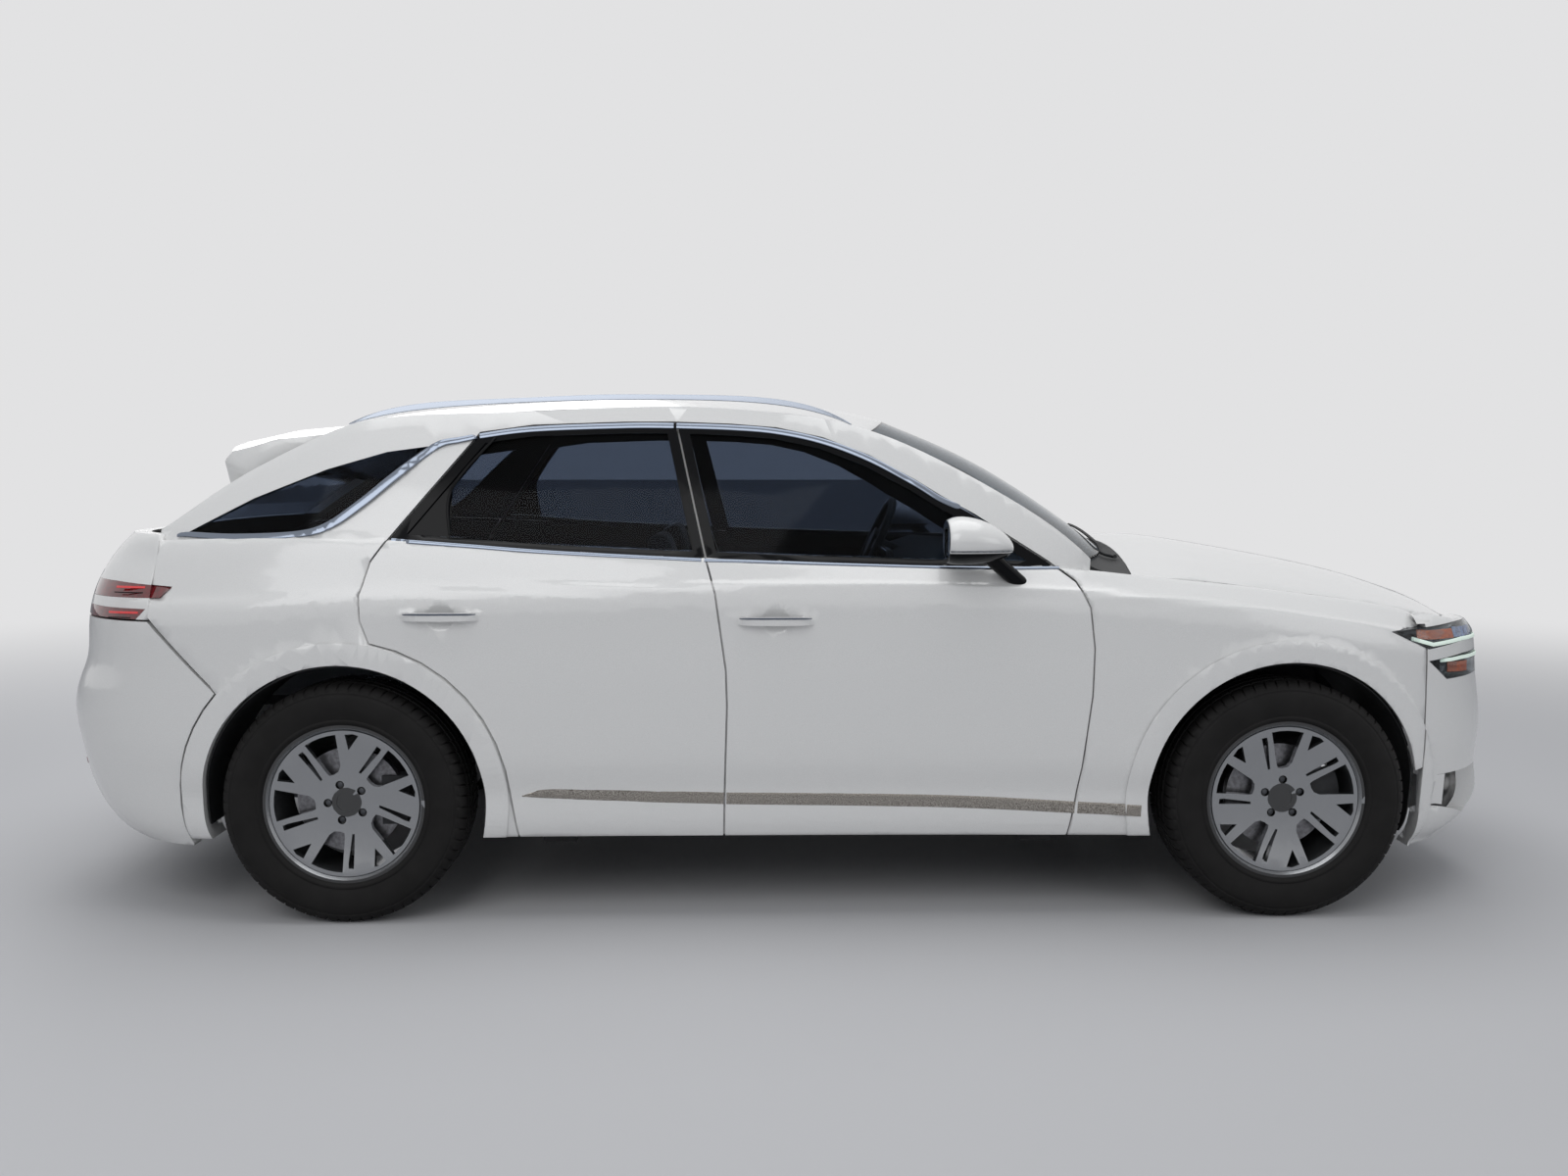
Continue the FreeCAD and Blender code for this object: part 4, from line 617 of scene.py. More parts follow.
def plate_between(tree, places, top_of, low_of, depth, inset, reach):
    """Plate on the right side between two lines, level with the skin above and below it."""
    steps = 5
    count = steps + 1
    verts = []
    for x in places:
        top, low = top_of(x), low_of(x)
        found = [side_point(tree, x, z) for z in (low - reach, top + reach)]
        known = [spot for spot in found if spot]
        ends = [(spot or known[0])[0].y / MM for spot in found]
        for k in range(count):
            level = k / steps
            y = ends[0] + (ends[1] - ends[0]) * level + inset
            verts.append(Vector((x, y, low + (top - low) * level)) * MM)
    back = len(verts)
    verts += [vert + Vector((0, depth * MM, 0)) for vert in verts]
    rows = len(places)
    faces = []
    for k in range(rows - 1):
        for n in range(steps):
            a = k * count + n
            ring = (a, a + 1, a + count + 1, a + count)
            faces.append(ring)
            faces.append(tuple(back + v for v in reversed(ring)))
    edge = list(range(count)) + [k * count + steps for k in range(1, rows)]
    edge += [(rows - 1) * count + n for n in range(steps - 1, -1, -1)]
    edge += [k * count for k in range(rows - 2, 0, -1)]
    for a, b in zip(edge, edge[1:] + edge[:1]):
        faces.append((a, b, back + b, back + a))
    return closed_mesh("plate", verts, faces)


def mirrored_piece(piece, name, body):
    """The same piece on the car's other side, with a mesh of its own."""
    mesh = piece.data.copy()
    shape = bmesh.new()
    shape.from_mesh(mesh)
    for vert in shape.verts:
        vert.co.y = -vert.co.y
    bmesh.ops.reverse_faces(shape, faces=shape.faces)
    shape.to_mesh(mesh)
    shape.free()
    twin = bpy.data.objects.new(name, mesh)
    bpy.context.scene.collection.objects.link(twin)
    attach(twin, body)
    return twin


def side_pair(name, mesh, material, body):
    """Piece on the right side and its twin on the left, which rides on the left body."""
    piece = new_piece(name + "_right", mesh, material, body)
    smooth_by_angle(piece, 40.0)
    mirrored_piece(piece, name + "_left", body.replace("right", "left"))


def round_block(name, corner, other, material, body, width, segments=3):
    """Rigid block between two corners in millimetres, with its edges rounded."""
    deselect_all()
    middle = [(a + b) / 2 * MM for a, b in zip(corner, other)]
    bpy.ops.mesh.primitive_cube_add(size=1.0, location=middle)
    block = bpy.context.object
    block.name = name
    block.scale = [abs(b - a) * MM for a, b in zip(corner, other)]
    bpy.ops.object.transform_apply(location=True, scale=True)
    apply_modifier(
        block, "round_edges", "BEVEL", width=width * MM, segments=segments, limit_method="ANGLE",
    )
    block.data.materials.append(MATERIALS[material])
    smooth_by_angle(block, 40)
    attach(block, body)
    return block


# Stage

WORLD_LIGHT = "#D4D8DE"
WORLD_STRENGTH = 0.45
BACKDROP = "#E2E2E3"
FLOOR_GREY = "#C9C9CB"
FLOOR_SIZE = 240.0
# Just under the tyres, so that no faces lie in one plane
FLOOR_HEIGHT = -0.0005
FADE_START = 3.5
FADE_END = 10.0
# Lamps: place, what they point at, size in metres and power in watts
LAMPS = (
    ("key_lamp", (-2.5, -6.5, 5.5), (0.0, 0.0, 0.6), 5.0, 150.0),
    ("fill_lamp", (5.5, -5.0, 3.2), (0.5, 0.0, 0.7), 4.0, 50.0),
    ("top_lamp", (0.0, 0.5, 7.0), (0.0, 0.0, 0.0), 7.0, 230.0),
    ("rear_lamp", (-3.0, 6.5, 4.5), (0.0, 0.0, 0.8), 5.0, 130.0),
)
CAMERA_PLACE = (-0.1045, -4.938, 1.395)
CAMERA_TURN = (84.75, 0.0, -1.04)
CAMERA_LENS = 30.825
CAMERA_SENSOR = 36.0


def build_floor():
    """Pale floor that fades into the backdrop's own colour, so that no edge shows."""
    bpy.ops.mesh.primitive_plane_add(size=FLOOR_SIZE, location=(0, 0, FLOOR_HEIGHT))
    floor = bpy.context.object
    floor.name = "floor"
    # Rolled-out vinyl floor of a studio, matt
    material, shader = new_material(
        "studio_floor", FLOOR_GREY, {"Roughness": 0.8, "Specular IOR Level": 0.1},
    )
    away = add_node(
        material, "ShaderNodeVectorMath", {"operation": "LENGTH"},
        {0: object_coordinates(material)},
    ).outputs["Value"]
    fade = add_node(
        material, "ShaderNodeMapRange",
        {"interpolation_type": "SMOOTHSTEP", "From Min": FADE_START, "From Max": FADE_END},
        {"Value": away},
    ).outputs["Result"]
    seen = add_node(material, "ShaderNodeLightPath").outputs["Is Camera Ray"]
    share = add_node(
        material, "ShaderNodeMath", {"operation": "MULTIPLY"}, {0: fade, 1: seen},
    ).outputs["Value"]
    backdrop = add_node(
        material, "ShaderNodeEmission", {"Color": linear(BACKDROP), "Strength": 1.0},
    )
    both = add_node(
        material, "ShaderNodeMixShader",
        links={0: share, 1: shader.outputs[0], 2: backdrop.outputs[0]},
    )
    surface = material.node_tree.nodes["Material Output"].inputs["Surface"]
    material.node_tree.links.new(both.outputs[0], surface)
    floor.data.materials.append(material)


def build_world():
    """Soft light all round; the camera, gloss and glass see the plain backdrop."""
    world = bpy.data.worlds.new("studio_world")
    bpy.context.scene.world = world
    world.use_nodes = True
    light_path = add_node(world, "ShaderNodeLightPath")
    seen = light_path.outputs["Is Camera Ray"]
    for ray in ("Is Glossy Ray", "Is Transmission Ray"):
        seen = add_node(
            world, "ShaderNodeMath", {"operation": "MAXIMUM"},
            {0: seen, 1: light_path.outputs[ray]},
        ).outputs["Value"]
    lighting = world.node_tree.nodes["Background"]
    lighting.inputs["Color"].default_value = linear(WORLD_LIGHT)
    lighting.inputs["Strength"].default_value = WORLD_STRENGTH
    backdrop = add_node(
        world, "ShaderNodeBackground", {"Color": linear(BACKDROP), "Strength": 1.0},
    )
    both = add_node(
        world, "ShaderNodeMixShader",
        links={0: seen, 1: lighting.outputs[0], 2: backdrop.outputs[0]},
    )
    surface = world.node_tree.nodes["World Output"].inputs["Surface"]
    world.node_tree.links.new(both.outputs[0], surface)


def build_stage():
    """Floor, lights, world and the camera at the photograph's place."""
    scene = bpy.context.scene
    scene.view_settings.view_transform = "Standard"
    build_floor()
    build_world()
    for name, place, target, size, power in LAMPS:
        light = bpy.data.lights.new(name, "AREA")
        light.size = size
        light.energy = power
        lamp = bpy.data.objects.new(name, light)
        lamp.location = place
        aim = Vector(target) - Vector(place)
        lamp.rotation_euler = aim.to_track_quat("-Z", "Y").to_euler()
        scene.collection.objects.link(lamp)
    camera = bpy.data.cameras.new("camera")
    camera.lens = CAMERA_LENS
    camera.sensor_width = CAMERA_SENSOR
    seat = bpy.data.objects.new("camera", camera)
    seat.location = CAMERA_PLACE
    seat.rotation_euler = [math.radians(angle) for angle in CAMERA_TURN]
    scene.collection.objects.link(seat)
    scene.camera = seat


# Body panels

# Lower edge of the side windows in side view
BELT = ((-1217, 1172), (-976, 1154), (-741, 1136), (-274, 1112), (446, 1090), (804, 1087))
# The nose over the lamps comes down between two places along the car, above a foot height, to a
# share of its height over that foot
NOSE_FROM = 2150.0
NOSE_TO = 2290.0
NOSE_FOOT = 860.0
NOSE_LEFT = 0.42
# Just over the lamps, before the nose comes down
CREST_FOOT = 907.0
# The crest's rear end reaches under the fender
CREST_END = 1990.0
CREST_OVERLAP = 24.0
CREST_DROP = 9.0
# The jack pads under the sill are bare black plastic
SILL_DARK_BELOW = 256.0
FRAME_LINING_FROM = 330.0
# Bare black panel under the tail
VALANCE_TOP = 345.0
VALANCE_HALF = 640.0
VALANCE_BEHIND = -2100.0


def nose_height(x, z):
    """Height that a point of the nose comes down to, in millimetres."""
    if x <= NOSE_FROM or z <= NOSE_FOOT:
        return z
    share = min(1.0, (x - NOSE_FROM) / (NOSE_TO - NOSE_FROM))
    share = share * share * (3 - 2 * share)
    return NOSE_FOOT + (z - NOSE_FOOT) * (1 - share * (1 - NOSE_LEFT))


def lower_nose(piece):
    """Bring the crest over the lamps down to the line that the car has there."""
    for vert in piece.data.vertices:
        vert.co.z = nose_height(vert.co.x / MM, vert.co.z / MM) * MM


def flush_crest(bumper, hood):
    """Bring the crest over the lamps level with the hood's edge beside it."""
    mesh = hood.data
    tree = BVHTree.FromPolygons(
        [vert.co for vert in mesh.vertices], [face.vertices for face in mesh.polygons],
    )
    for vert in bumper.data.vertices:
        foot = nose_height(vert.co.x / MM, CREST_FOOT) * MM
        if vert.co.z > foot:
            edge = tree.find_nearest(vert.co)[0]
            vert.co.z = min(vert.co.z, max(foot, edge.z))
            if vert.co.x < CREST_END * MM:
                vert.co += Vector((-CREST_OVERLAP, 0, -CREST_DROP)) * MM


def above_belt(middle, normal):
    """Whether a face belongs to a door's window frame."""
    return middle.z > value_on(BELT, middle.x) - 1.0


def faces_down(middle, normal):
    """Whether a face is the underside of a panel."""
    return normal.z < -0.4


def on_valance(middle, normal):
    """Whether a face of the rear bumper belongs to its bare lower panel."""
    low = middle.z < VALANCE_TOP and middle.x < VALANCE_BEHIND
    return low and abs(middle.y) < VALANCE_HALF


def build_side_panels(side):
    """Fender, side frame and doors of one side, with dark linings and window frames."""
    sign = SIDE_SIGN[side]

    def inward(middle, normal):
        return normal.y * sign < -0.3

    dress_node("fender_" + side, angle=52.0)
    frame_side = dress_node("side_frame_" + side)
    finish_faces(
        frame_side, "vinyl",
        lambda middle, normal: inward(middle, normal) and middle.z > FRAME_LINING_FROM,
    )
    finish_faces(frame_side, "black_plastic", lambda middle, normal: middle.z < SILL_DARK_BELOW)
    for place in ("front", "rear"):
        door = dress_node("door_%s_%s" % (place, side))
        finish_faces(door, "gloss_black", above_belt)
        finish_faces(door, "vinyl", inward)


def build_panels():
    """Painted panels, with the black parts below and the linings inside."""
    bumper = dress_node("bumper_front")
    lower_nose(bumper)
    tail = dress_node("bumper_rear")
    cut_faces(tail, Vector((0, 0, VALANCE_TOP * MM)), Vector((0, 0, 1)))
    for sign in (-1, 1):
        cut_faces(tail, Vector((0, sign * VALANCE_HALF * MM, 0)), Vector((0, 1, 0)))
    finish_faces(tail, "black_plastic", on_valance)
    hood = dress_node("hood")
    lower_nose(hood)
    flush_crest(bumper, hood)
    roof = dress_node("roof_panel")
    for panel in (hood, roof):
        finish_faces(panel, "lining", faces_down)
    gate = dress_node("tailgate_panel")
    finish_faces(gate, "vinyl", lambda middle, normal: normal.x > 0.35 or normal.z < -0.6)
    for side in SIDE_SIGN:
        build_side_panels(side)
    spoiler = dress_node("tailgate_spoiler", angle=62.0)
    finish_faces(spoiler, "gloss_black", lambda middle, normal: normal.z < -0.15)
    dress_node("cowl")


# Glass and its trim, in side view: x, z and width

ROOF_TRIM = (
    (-981, 1484, 19), (-816, 1506, 20), (-530, 1517, 20), (-368, 1517, 20), (-193, 1511, 20),
    (-52, 1499, 20), (92, 1468, 20), (235, 1414, 20), (376, 1338, 19), (456, 1288, 18),
    (556, 1243, 17), (700, 1151, 15), (808, 1085, 12),
)
BELT_TRIM = tuple((x, z - 4, 13) for x, z in BELT)
QUARTER_TRIM = (
    (-1893, 1176, 10), (-1860, 1180, 17), (-1699, 1175, 20), (-1508, 1183, 22), (-1412, 1209, 26),
    (-1316, 1279, 28), (-1233, 1353, 28), (-1142, 1430, 25), (-1095, 1460, 22), (-1040, 1471, 20),
    (-992, 1481, 19),
)
SILL_TRIM = (
    (-827, 393, 3), (-790, 397, 17), (-741, 400, 29), (-500, 392, 35), (-214, 384, 37),
    (446, 372, 38), (1061, 340, 35),
)
# Strips: line, first and last place, nodes below it (it rides with the first one), finish,
# section and lift
TRIM_STRIPS = (
    ("roof_trim_rear", ROOF_TRIM, -981, -375, ["door_rear_right"], "chrome", TRIM_SECTION, 0.0),
    ("roof_trim_front", ROOF_TRIM, -366, 808, ["door_front_right"], "chrome", TRIM_SECTION, 0.0),
    ("belt_trim_rear", BELT_TRIM, -1217, -281, ["door_rear_right"], "chrome", TRIM_SECTION, 0.0),
    ("belt_trim_front", BELT_TRIM, -272, 806, ["door_front_right"], "chrome", TRIM_SECTION, 0.0),
    (
        "quarter_trim", QUARTER_TRIM, -1893, -992, ["side_frame_right", "quarter_glass"],
        "chrome", TRIM_SECTION, 4.0,
    ),
    (
        "sill_trim_rear", SILL_TRIM, -827, -215, ["door_rear_right"], "sill_chrome",
        FLAT_SECTION, 0.0,
    ),
    (
        "sill_trim_front", SILL_TRIM, -207, 858, ["door_front_right"], "sill_chrome",
        FLAT_SECTION, 0.0,
    ),
    ("sill_trim_arch", SILL_TRIM, 867, 1061, ["fender_right"], "sill_chrome", FLAT_SECTION, 0.0),
)
TRIM_STEP = 10.0
# The rear doors' glass is black behind this edge
REAR_GLASS_EDGE = ((-932, 1480), (-1050, 1321), (-1045, 1183))
# Middle of each door handle, and the strip along its top from there
HANDLES = (("front", -57.0, 931.0), ("rear", -1055.0, 945.0))
HANDLE_STRIP = ((-108, 8.0, 3), (-60, 8.5, 5), (0, 8.5, 5), (60, 8.5, 5), (108, 8.0, 3))


def part_of(line, start, end):
    """The part of a line of (x, z, width) points between two places along the car."""
    def at(x):
        heights = [(p[0], p[1]) for p in line]
        widths = [(p[0], p[2]) for p in line]
        return (x, value_on(heights, x), value_on(widths, x))

    return [at(start)] + [p for p in line if start + 5 < p[0] < end - 5] + [at(end)]


def lay_strip(name, line, nodes, material, body, section=TRIM_SECTION, lift=0.0):
    """Strip on the right side over some CAD nodes, and its twin."""
    samples = even_samples(side_samples(skin_tree(*nodes), line, TRIM_STEP))
    side_pair(name, strip_mesh(samples, section, lift), material, body)


def build_window_trim():
    """Bright strips round the side windows and along the sills."""
    for name, line, start, end, nodes, material, section, lift in TRIM_STRIPS:
        lay_strip(
            name, part_of(line, start, end), nodes, material, BODY_OF[nodes[0]], section,
            lift,
        )


def build_handle_trim():
    """Thin bright strip along the top of each door handle."""
    for place, x, z in HANDLES:
        node = "door_%s_right" % place
        line = [(x + along, z + up, width) for along, up, width in HANDLE_STRIP]
        lay_strip("handle_trim_" + place, line, [node], "chrome", node, FLAT_SECTION, 0.2)


# Painted corner of the front bumper beside the low intake: places along the car, the intake's
# upper edge, and its lower edge by the place across
CORNER_FROM = 2012.0
CORNER_TO = 2060.0
CORNER_STEPS = 6
INTAKE_TOP = 424.0
INTAKE_LOW = ((592, 262), (668, 262), (821, 327))
CORNER_REACH = 8.0


def build_bumper_corners():
    """Close the outer part of each low intake with painted skin."""
    tree = skin_tree("bumper_front")
    run = (CORNER_TO - CORNER_FROM) / CORNER_STEPS
    places = [CORNER_FROM + run * k for k in range(CORNER_STEPS + 1)]
    widths = [(x, -side_point(tree, x, INTAKE_TOP + CORNER_REACH)[0].y / MM) for x in places]
    plate = plate_between(
        tree, places, lambda x: INTAKE_TOP - 1,
        lambda x: value_on(INTAKE_LOW, value_on(widths, x)) + 1, 3.0, 0.3, CORNER_REACH,
    )
    side_pair("bumper_corner", plate, "paint", "body")


def build_glass():
    """Panes, the rear doors' black fixed part and its division bar."""
    edge = sorted((z, x) for x, z in REAR_GLASS_EDGE)
    for side in SIDE_SIGN:
        dress_node("glass_front_" + side)
        pane = dress_node("glass_rear_" + side)
        for start, end in zip(REAR_GLASS_EDGE, REAR_GLASS_EDGE[1:]):
            run = Vector((end[0] - start[0], 0, end[1] - start[1]))
            across = run.cross(Vector((0, 1, 0))).normalized()
            cut_faces(pane, Vector((start[0], 0, start[1])) * MM, across)
        finish_faces(
            pane, "gloss_black", lambda middle, normal: middle.x < value_on(edge, middle.z),
        )
    for node in ("quarter_glass", "tailgate_glass"):
        dress_node(node, "glass_dark")
    dress_node("windscreen", "glass_clear")
    bar = [(x, z, 9) for x, z in REAR_GLASS_EDGE]
    lay_strip(
        "window_bar", bar, ["glass_rear_right"], "gloss_black", "door_rear_right",
    )


# Lamps

HEADLAMP_MIDDLE = 1500.0
# Inside the headlamps: heights by angle from straight sideways, first and last angle, width,
# finish and place under the cover
LAMP_PARTS = (
    (
        "upper_guide", ((24, 866), (30, 840), (39, 850), (57, 847)), 25, 58, 12, "light_guide",
        -5.0,
    ),
    ("amber_bar", ((26, 876), (30, 872), (38, 872)), 27, 38, 30, "amber_acrylic", -14.0),
    ("blue_filter", ((38, 872), (57, 870)), 38, 57, 34, "coated_lens", -14.0),
    ("lower_guide", ((31, 786), (38, 791), (57, 790)), 32, 58, 11, "light_guide", -5.0),
    ("lower_amber", ((34, 764), (42, 760)), 35, 43, 32, "amber_acrylic", -14.0),
    ("lower_mirror", ((42, 760), (57, 760)), 43, 57, 36, "zinc_steel", -14.0),
)
# Front tip of the upper tail lamp in side view
LAMP_TIP_PLACES = tuple(-1945.0 + 11 * k for k in range(7))
LAMP_TIP_TOP = ((-1945, 1031), (-1879, 1027))
LAMP_TIP_LOW = ((-1945, 995), (-1912, 996), (-1879, 1025))
TAIL_LAMP_MIDDLE = -1400.0
TAIL_LAMP_ANGLES = tuple(20 + 1.5 * k for k in range(14))
# Strips on the tail lamps: height, width and finish
TAIL_LAMP_STRIPS = (
    ("upper_guide", 1025, 7, "tail_guide"), ("upper_line", 1009, 3, "gloss_black"),
    ("lower_guide", 950, 7, "tail_guide"), ("lower_line", 934, 3, "gloss_black"),
)


def round_nose(tree, middle_x, height, angles, width, end=1):
    """Samples round the nose or the tail at a height, from the right side inwards."""
    samples = []
    for angle in angles:
        turn = math.radians(angle)
        away = Vector((end * math.sin(turn), -math.cos(turn), 0))
        start = Vector((middle_x * MM, 0, height(angle) * MM)) + away * 2.0
        spot = skin_point(tree, start, -away)
        if spot:
            samples.append([*spot, width])
    return even_samples(samples)


def lamp_shell(node, name, keep_outer, middle_x, material, wall, angle):
    """Thin-walled shell of a lamp block: its lens side, or all the rest."""
    mesh = clean_mesh(node)
    shape = bmesh.new()
    shape.from_mesh(mesh)
    gone = []
    for face in shape.faces:
        middle = face.calc_center_median()
        away = Vector((middle.x - middle_x * MM, middle.y, 0)).normalized()
        outer = face.normal.dot(away) > 0.45 and abs(face.normal.z) < 0.75
        if outer != keep_outer:
            gone.append(face)
    bmesh.ops.delete(shape, geom=gone, context="FACES")
    shape.to_mesh(mesh)
    shape.free()
    shell = new_piece(name, mesh, material, BODY_OF[node])
    apply_modifier(shell, "wall", "SOLIDIFY", thickness=wall * MM, offset=-1.0)
    smooth_by_angle(shell, angle)
    lower_nose(shell)
    return shell


def build_headlamps():
    """Clear lenses over dark buckets with light guides, amber bars and a filter."""
    lens = lamp_shell(
        "headlamps", "look_headlamps", True, HEADLAMP_MIDDLE, "lamp_clear", 3.0, 40,
    )
    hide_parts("headlamps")
    lamp_shell(
        "headlamps", "headlamp_buckets", False, HEADLAMP_MIDDLE, "lamp_bucket", 1.5,
        30,
    )
    tree = skin_tree("headlamps")
    for name, heights, first, last, width, material, lift in LAMP_PARTS:
        samples = round_nose(
            tree, HEADLAMP_MIDDLE, lambda angle: value_on(heights, angle), range(first, last),
            width,
        )
        strip = strip_mesh(samples, FLAT_SECTION, lift)
        side_pair("headlamp_" + name, strip, material, "body")


def build_tail_lamps():
    """Red blocks with a guide brightened by a painted glow, and a dark line through each."""
    for node in ("tail_lamps", "tailgate_lamps"):
        dress_node(node, soften=1.0)
    tip = plate_between(
        skin_tree("side_frame_right"), LAMP_TIP_PLACES, lambda x: value_on(LAMP_TIP_TOP, x),
        lambda x: value_on(LAMP_TIP_LOW, x), 14.0, 1.0, 10.0,
    )
    side_pair("tail_lamp_tip", tip, "lamp_red", "body")
    tree = skin_tree("tail_lamps", "tailgate_lamps")
    for name, height, width, material in TAIL_LAMP_STRIPS:
        samples = round_nose(
            tree, TAIL_LAMP_MIDDLE, lambda angle: height, TAIL_LAMP_ANGLES, width, -1,
        )
        strip = strip_mesh(samples, FLAT_SECTION, -0.3)
        side_pair("tail_" + name, strip, material, "body")


# Door mirrors

# White above this height, black below
MIRROR_SPLIT = 1138.0
MIRROR_GLASS_FROM = 1100.0
# Indicator strip: the mirror's middle in metres, height over the split, width, and its angles
# from straight outwards
MIRROR_MIDDLE = (0.53, -0.985)
INDICATOR_UP = 6.0
INDICATOR_WIDTH = 6.0
INDICATOR_ANGLES = range(-62, 78, 4)


def build_mirrors():
    """White caps over black feet, with an indicator strip and the glass."""
    for side in SIDE_SIGN:
        shell = dress_node("mirror_" + side)
        cut_faces(shell, Vector((0, 0, MIRROR_SPLIT * MM)), Vector((0, 0, 1)))
        finish_faces(shell, "gloss_black", lambda middle, normal: middle.z < MIRROR_SPLIT)
        finish_faces(
            shell, "mirror_glass",
            lambda middle, normal: normal.x < -0.8 and middle.z > MIRROR_GLASS_FROM,
        )
    tree = skin_tree("mirror_right")
    centre = Vector((*MIRROR_MIDDLE, (MIRROR_SPLIT + INDICATOR_UP) * MM))
    samples = []
    for angle in INDICATOR_ANGLES:
        turn = math.radians(angle)
        away = Vector((math.sin(turn), -math.cos(turn), 0))
        spot = skin_point(tree, centre + away * 0.5, -away)
        if spot:
            samples.append([*spot, INDICATOR_WIDTH])
    side_pair(
        "mirror_indicator", strip_mesh(even_samples(samples), FLAT_SECTION, 0.3),
        "indicator_grey", "door_front_right",
    )


# Wheels and tyres

# Middle of each wheel: x, y and the side it faces
CORNERS = {
    "front_left": (1510.0, 820.0, 1), "front_right": (1510.0, -820.0, -1),
    "rear_left": (-1365.0, 825.0, 1), "rear_right": (-1365.0, -825.0, -1),
}
AXLE_Z = 369.5
TREAD_PITCHES = 66
# Tyre section from the outer bead to the middle of the tread: radius, place across, and how deep
# the cross grooves cut it
TYRE_SECTION = (
    (245.0, 104.0, 0), (249.0, 107.0, 0), (253.0, 110.0, 0), (258.0, 110.5, 0),
    (262.0, 108.6, 0), (275.0, 112.6, 0), (290.0, 115.8, 0), (303.0, 117.2, 0),
    (318.0, 117.0, 0), (330.0, 115.4, 0), (337.0, 113.6, 0), (338.5, 112.0, 0),
    (341.0, 111.7, 0), (343.0, 112.3, 0.5), (350.0, 109.0, 1.6), (357.0, 104.0, 3.0),
    (362.5, 98.0, 4.5), (366.2, 91.0, 6.0), (368.0, 84.0, 6.5), (368.8, 72.0, 6.5),
    (369.0, 64.5, 6.5), (362.0, 62.5, 0), (361.8, 54.5, 0), (369.1, 52.5, 2.2),
    (369.3, 40.0, 2.2), (369.3, 26.0, 2.2), (362.0, 24.2, 0), (361.8, 15.8, 0),
    (369.4, 14.0, 1.6), (369.5, 0.0, 1.6),
)
# Inside of the casing, closing the ring over the rim
CASING_SECTION = ((243.5, -100.0, 0), (240.5, -60.0, 0), (240.5, 60.0, 0), (243.5, 100.0, 0))
# One pitch of the tread: shares of its length, and how much of the groove's depth each has
PITCH_STEPS = ((0.0, 0.0), (0.40, 0.0), (0.445, 1.0), (0.535, 1.0), (0.58, 0.0))
# Grooves sweep round the tyre as they cross it, by this much a millimetre from a place across
GROOVE_SWEEP = 0.00055
GROOVE_MIDDLE = 60.0

LUG_CIRCLE = 57.15
LUG_RADIUS = 13.0
# From a blade to the next lug hole
LUG_ANGLE = 40.5
HUB_FACE = 71.0
NUT_SUNK = 10.0
BLADE_ANGLE = {"front": 49.5, "rear": 69.5}
DISC_RADIUS = 165.0
DISC_OUT = 33.5
CAP_RADIUS = 30.5
FRONT_OUT = 40.0
# The painted shade of a lug recess reaches this far round its hole, and ends this far under the
# hub's face
RECESS_MARGIN = 0.6
RECESS_SUNK = 1.5


def tyre_mesh():
    """Tyre about the origin with five ribs, cross grooves and ridged shoulders."""
    half = list(TYRE_SECTION)
    section = half + [(r, -y, d) for r, y, d in half[-2::-1]] + list(CASING_SECTION)
    columns = [
        (2 * math.pi * (k + step) / TREAD_PITCHES, depth)
        for k in range(TREAD_PITCHES) for step, depth in PITCH_STEPS
    ]
    verts = []
    for angle, depth in columns:
        for r, y, cut in section:
            turn = angle + ((abs(y) - GROOVE_MIDDLE) * GROOVE_SWEEP if cut else 0)
            size = (r - cut * depth) * MM
            verts.append((size * math.cos(turn), y * MM, size * math.sin(turn)))
    count = len(section)
    faces = []
    for k in range(len(columns)):
        a = k * count
        b = ((k + 1) % len(columns)) * count
        for n in range(count):
            m = (n + 1) % count
            faces.append((a + n, b + n, b + m, a + m))
    return closed_mesh("tyre", verts, faces)


def build_tyres():
    """Tyres with tread, one mesh for each."""
    for corner, (x, y, sign) in CORNERS.items():
        mesh = tyre_mesh()
        mesh.transform(Matrix.Translation((x * MM, y * MM, AXLE_Z * MM)))
        node = "tyre_" + corner
        tyre = new_piece("look_" + node, mesh, "tyre", BODY_OF[node])
        smooth_by_angle(tyre, 38)
        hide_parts(node)


def lug_places(corner):
    """Middles of a wheel's lug holes about its axle, in millimetres."""
    first = BLADE_ANGLE[corner.split("_")[0]] + LUG_ANGLE
    turns = [math.radians(first + 72 * k) for k in range(5)]
    return [Vector((math.cos(turn), 0, math.sin(turn))) * LUG_CIRCLE for turn in turns]


def lug_nuts(places, face):
    """Hexagon nuts with soft edges, about the wheel's middle."""
    meshes = []
    for place in places:
        deselect_all()
        bpy.ops.mesh.primitive_cylinder_add(
            vertices=6, radius=sizes().nut_radius, depth=0.012, end_fill_type="NGON",
            location=(place.x * MM, face * MM, place.z * MM), rotation=(math.radians(90), 0, 0),
        )
        nut = bpy.context.object
        bpy.ops.object.transform_apply(location=True, rotation=True, scale=True)
        apply_modifier(nut, "soft", "BEVEL", width=0.0022, segments=2, limit_method="ANGLE")
        meshes.append(nut.data)
        bpy.data.objects.remove(nut)
    return join_meshes("nuts", meshes)


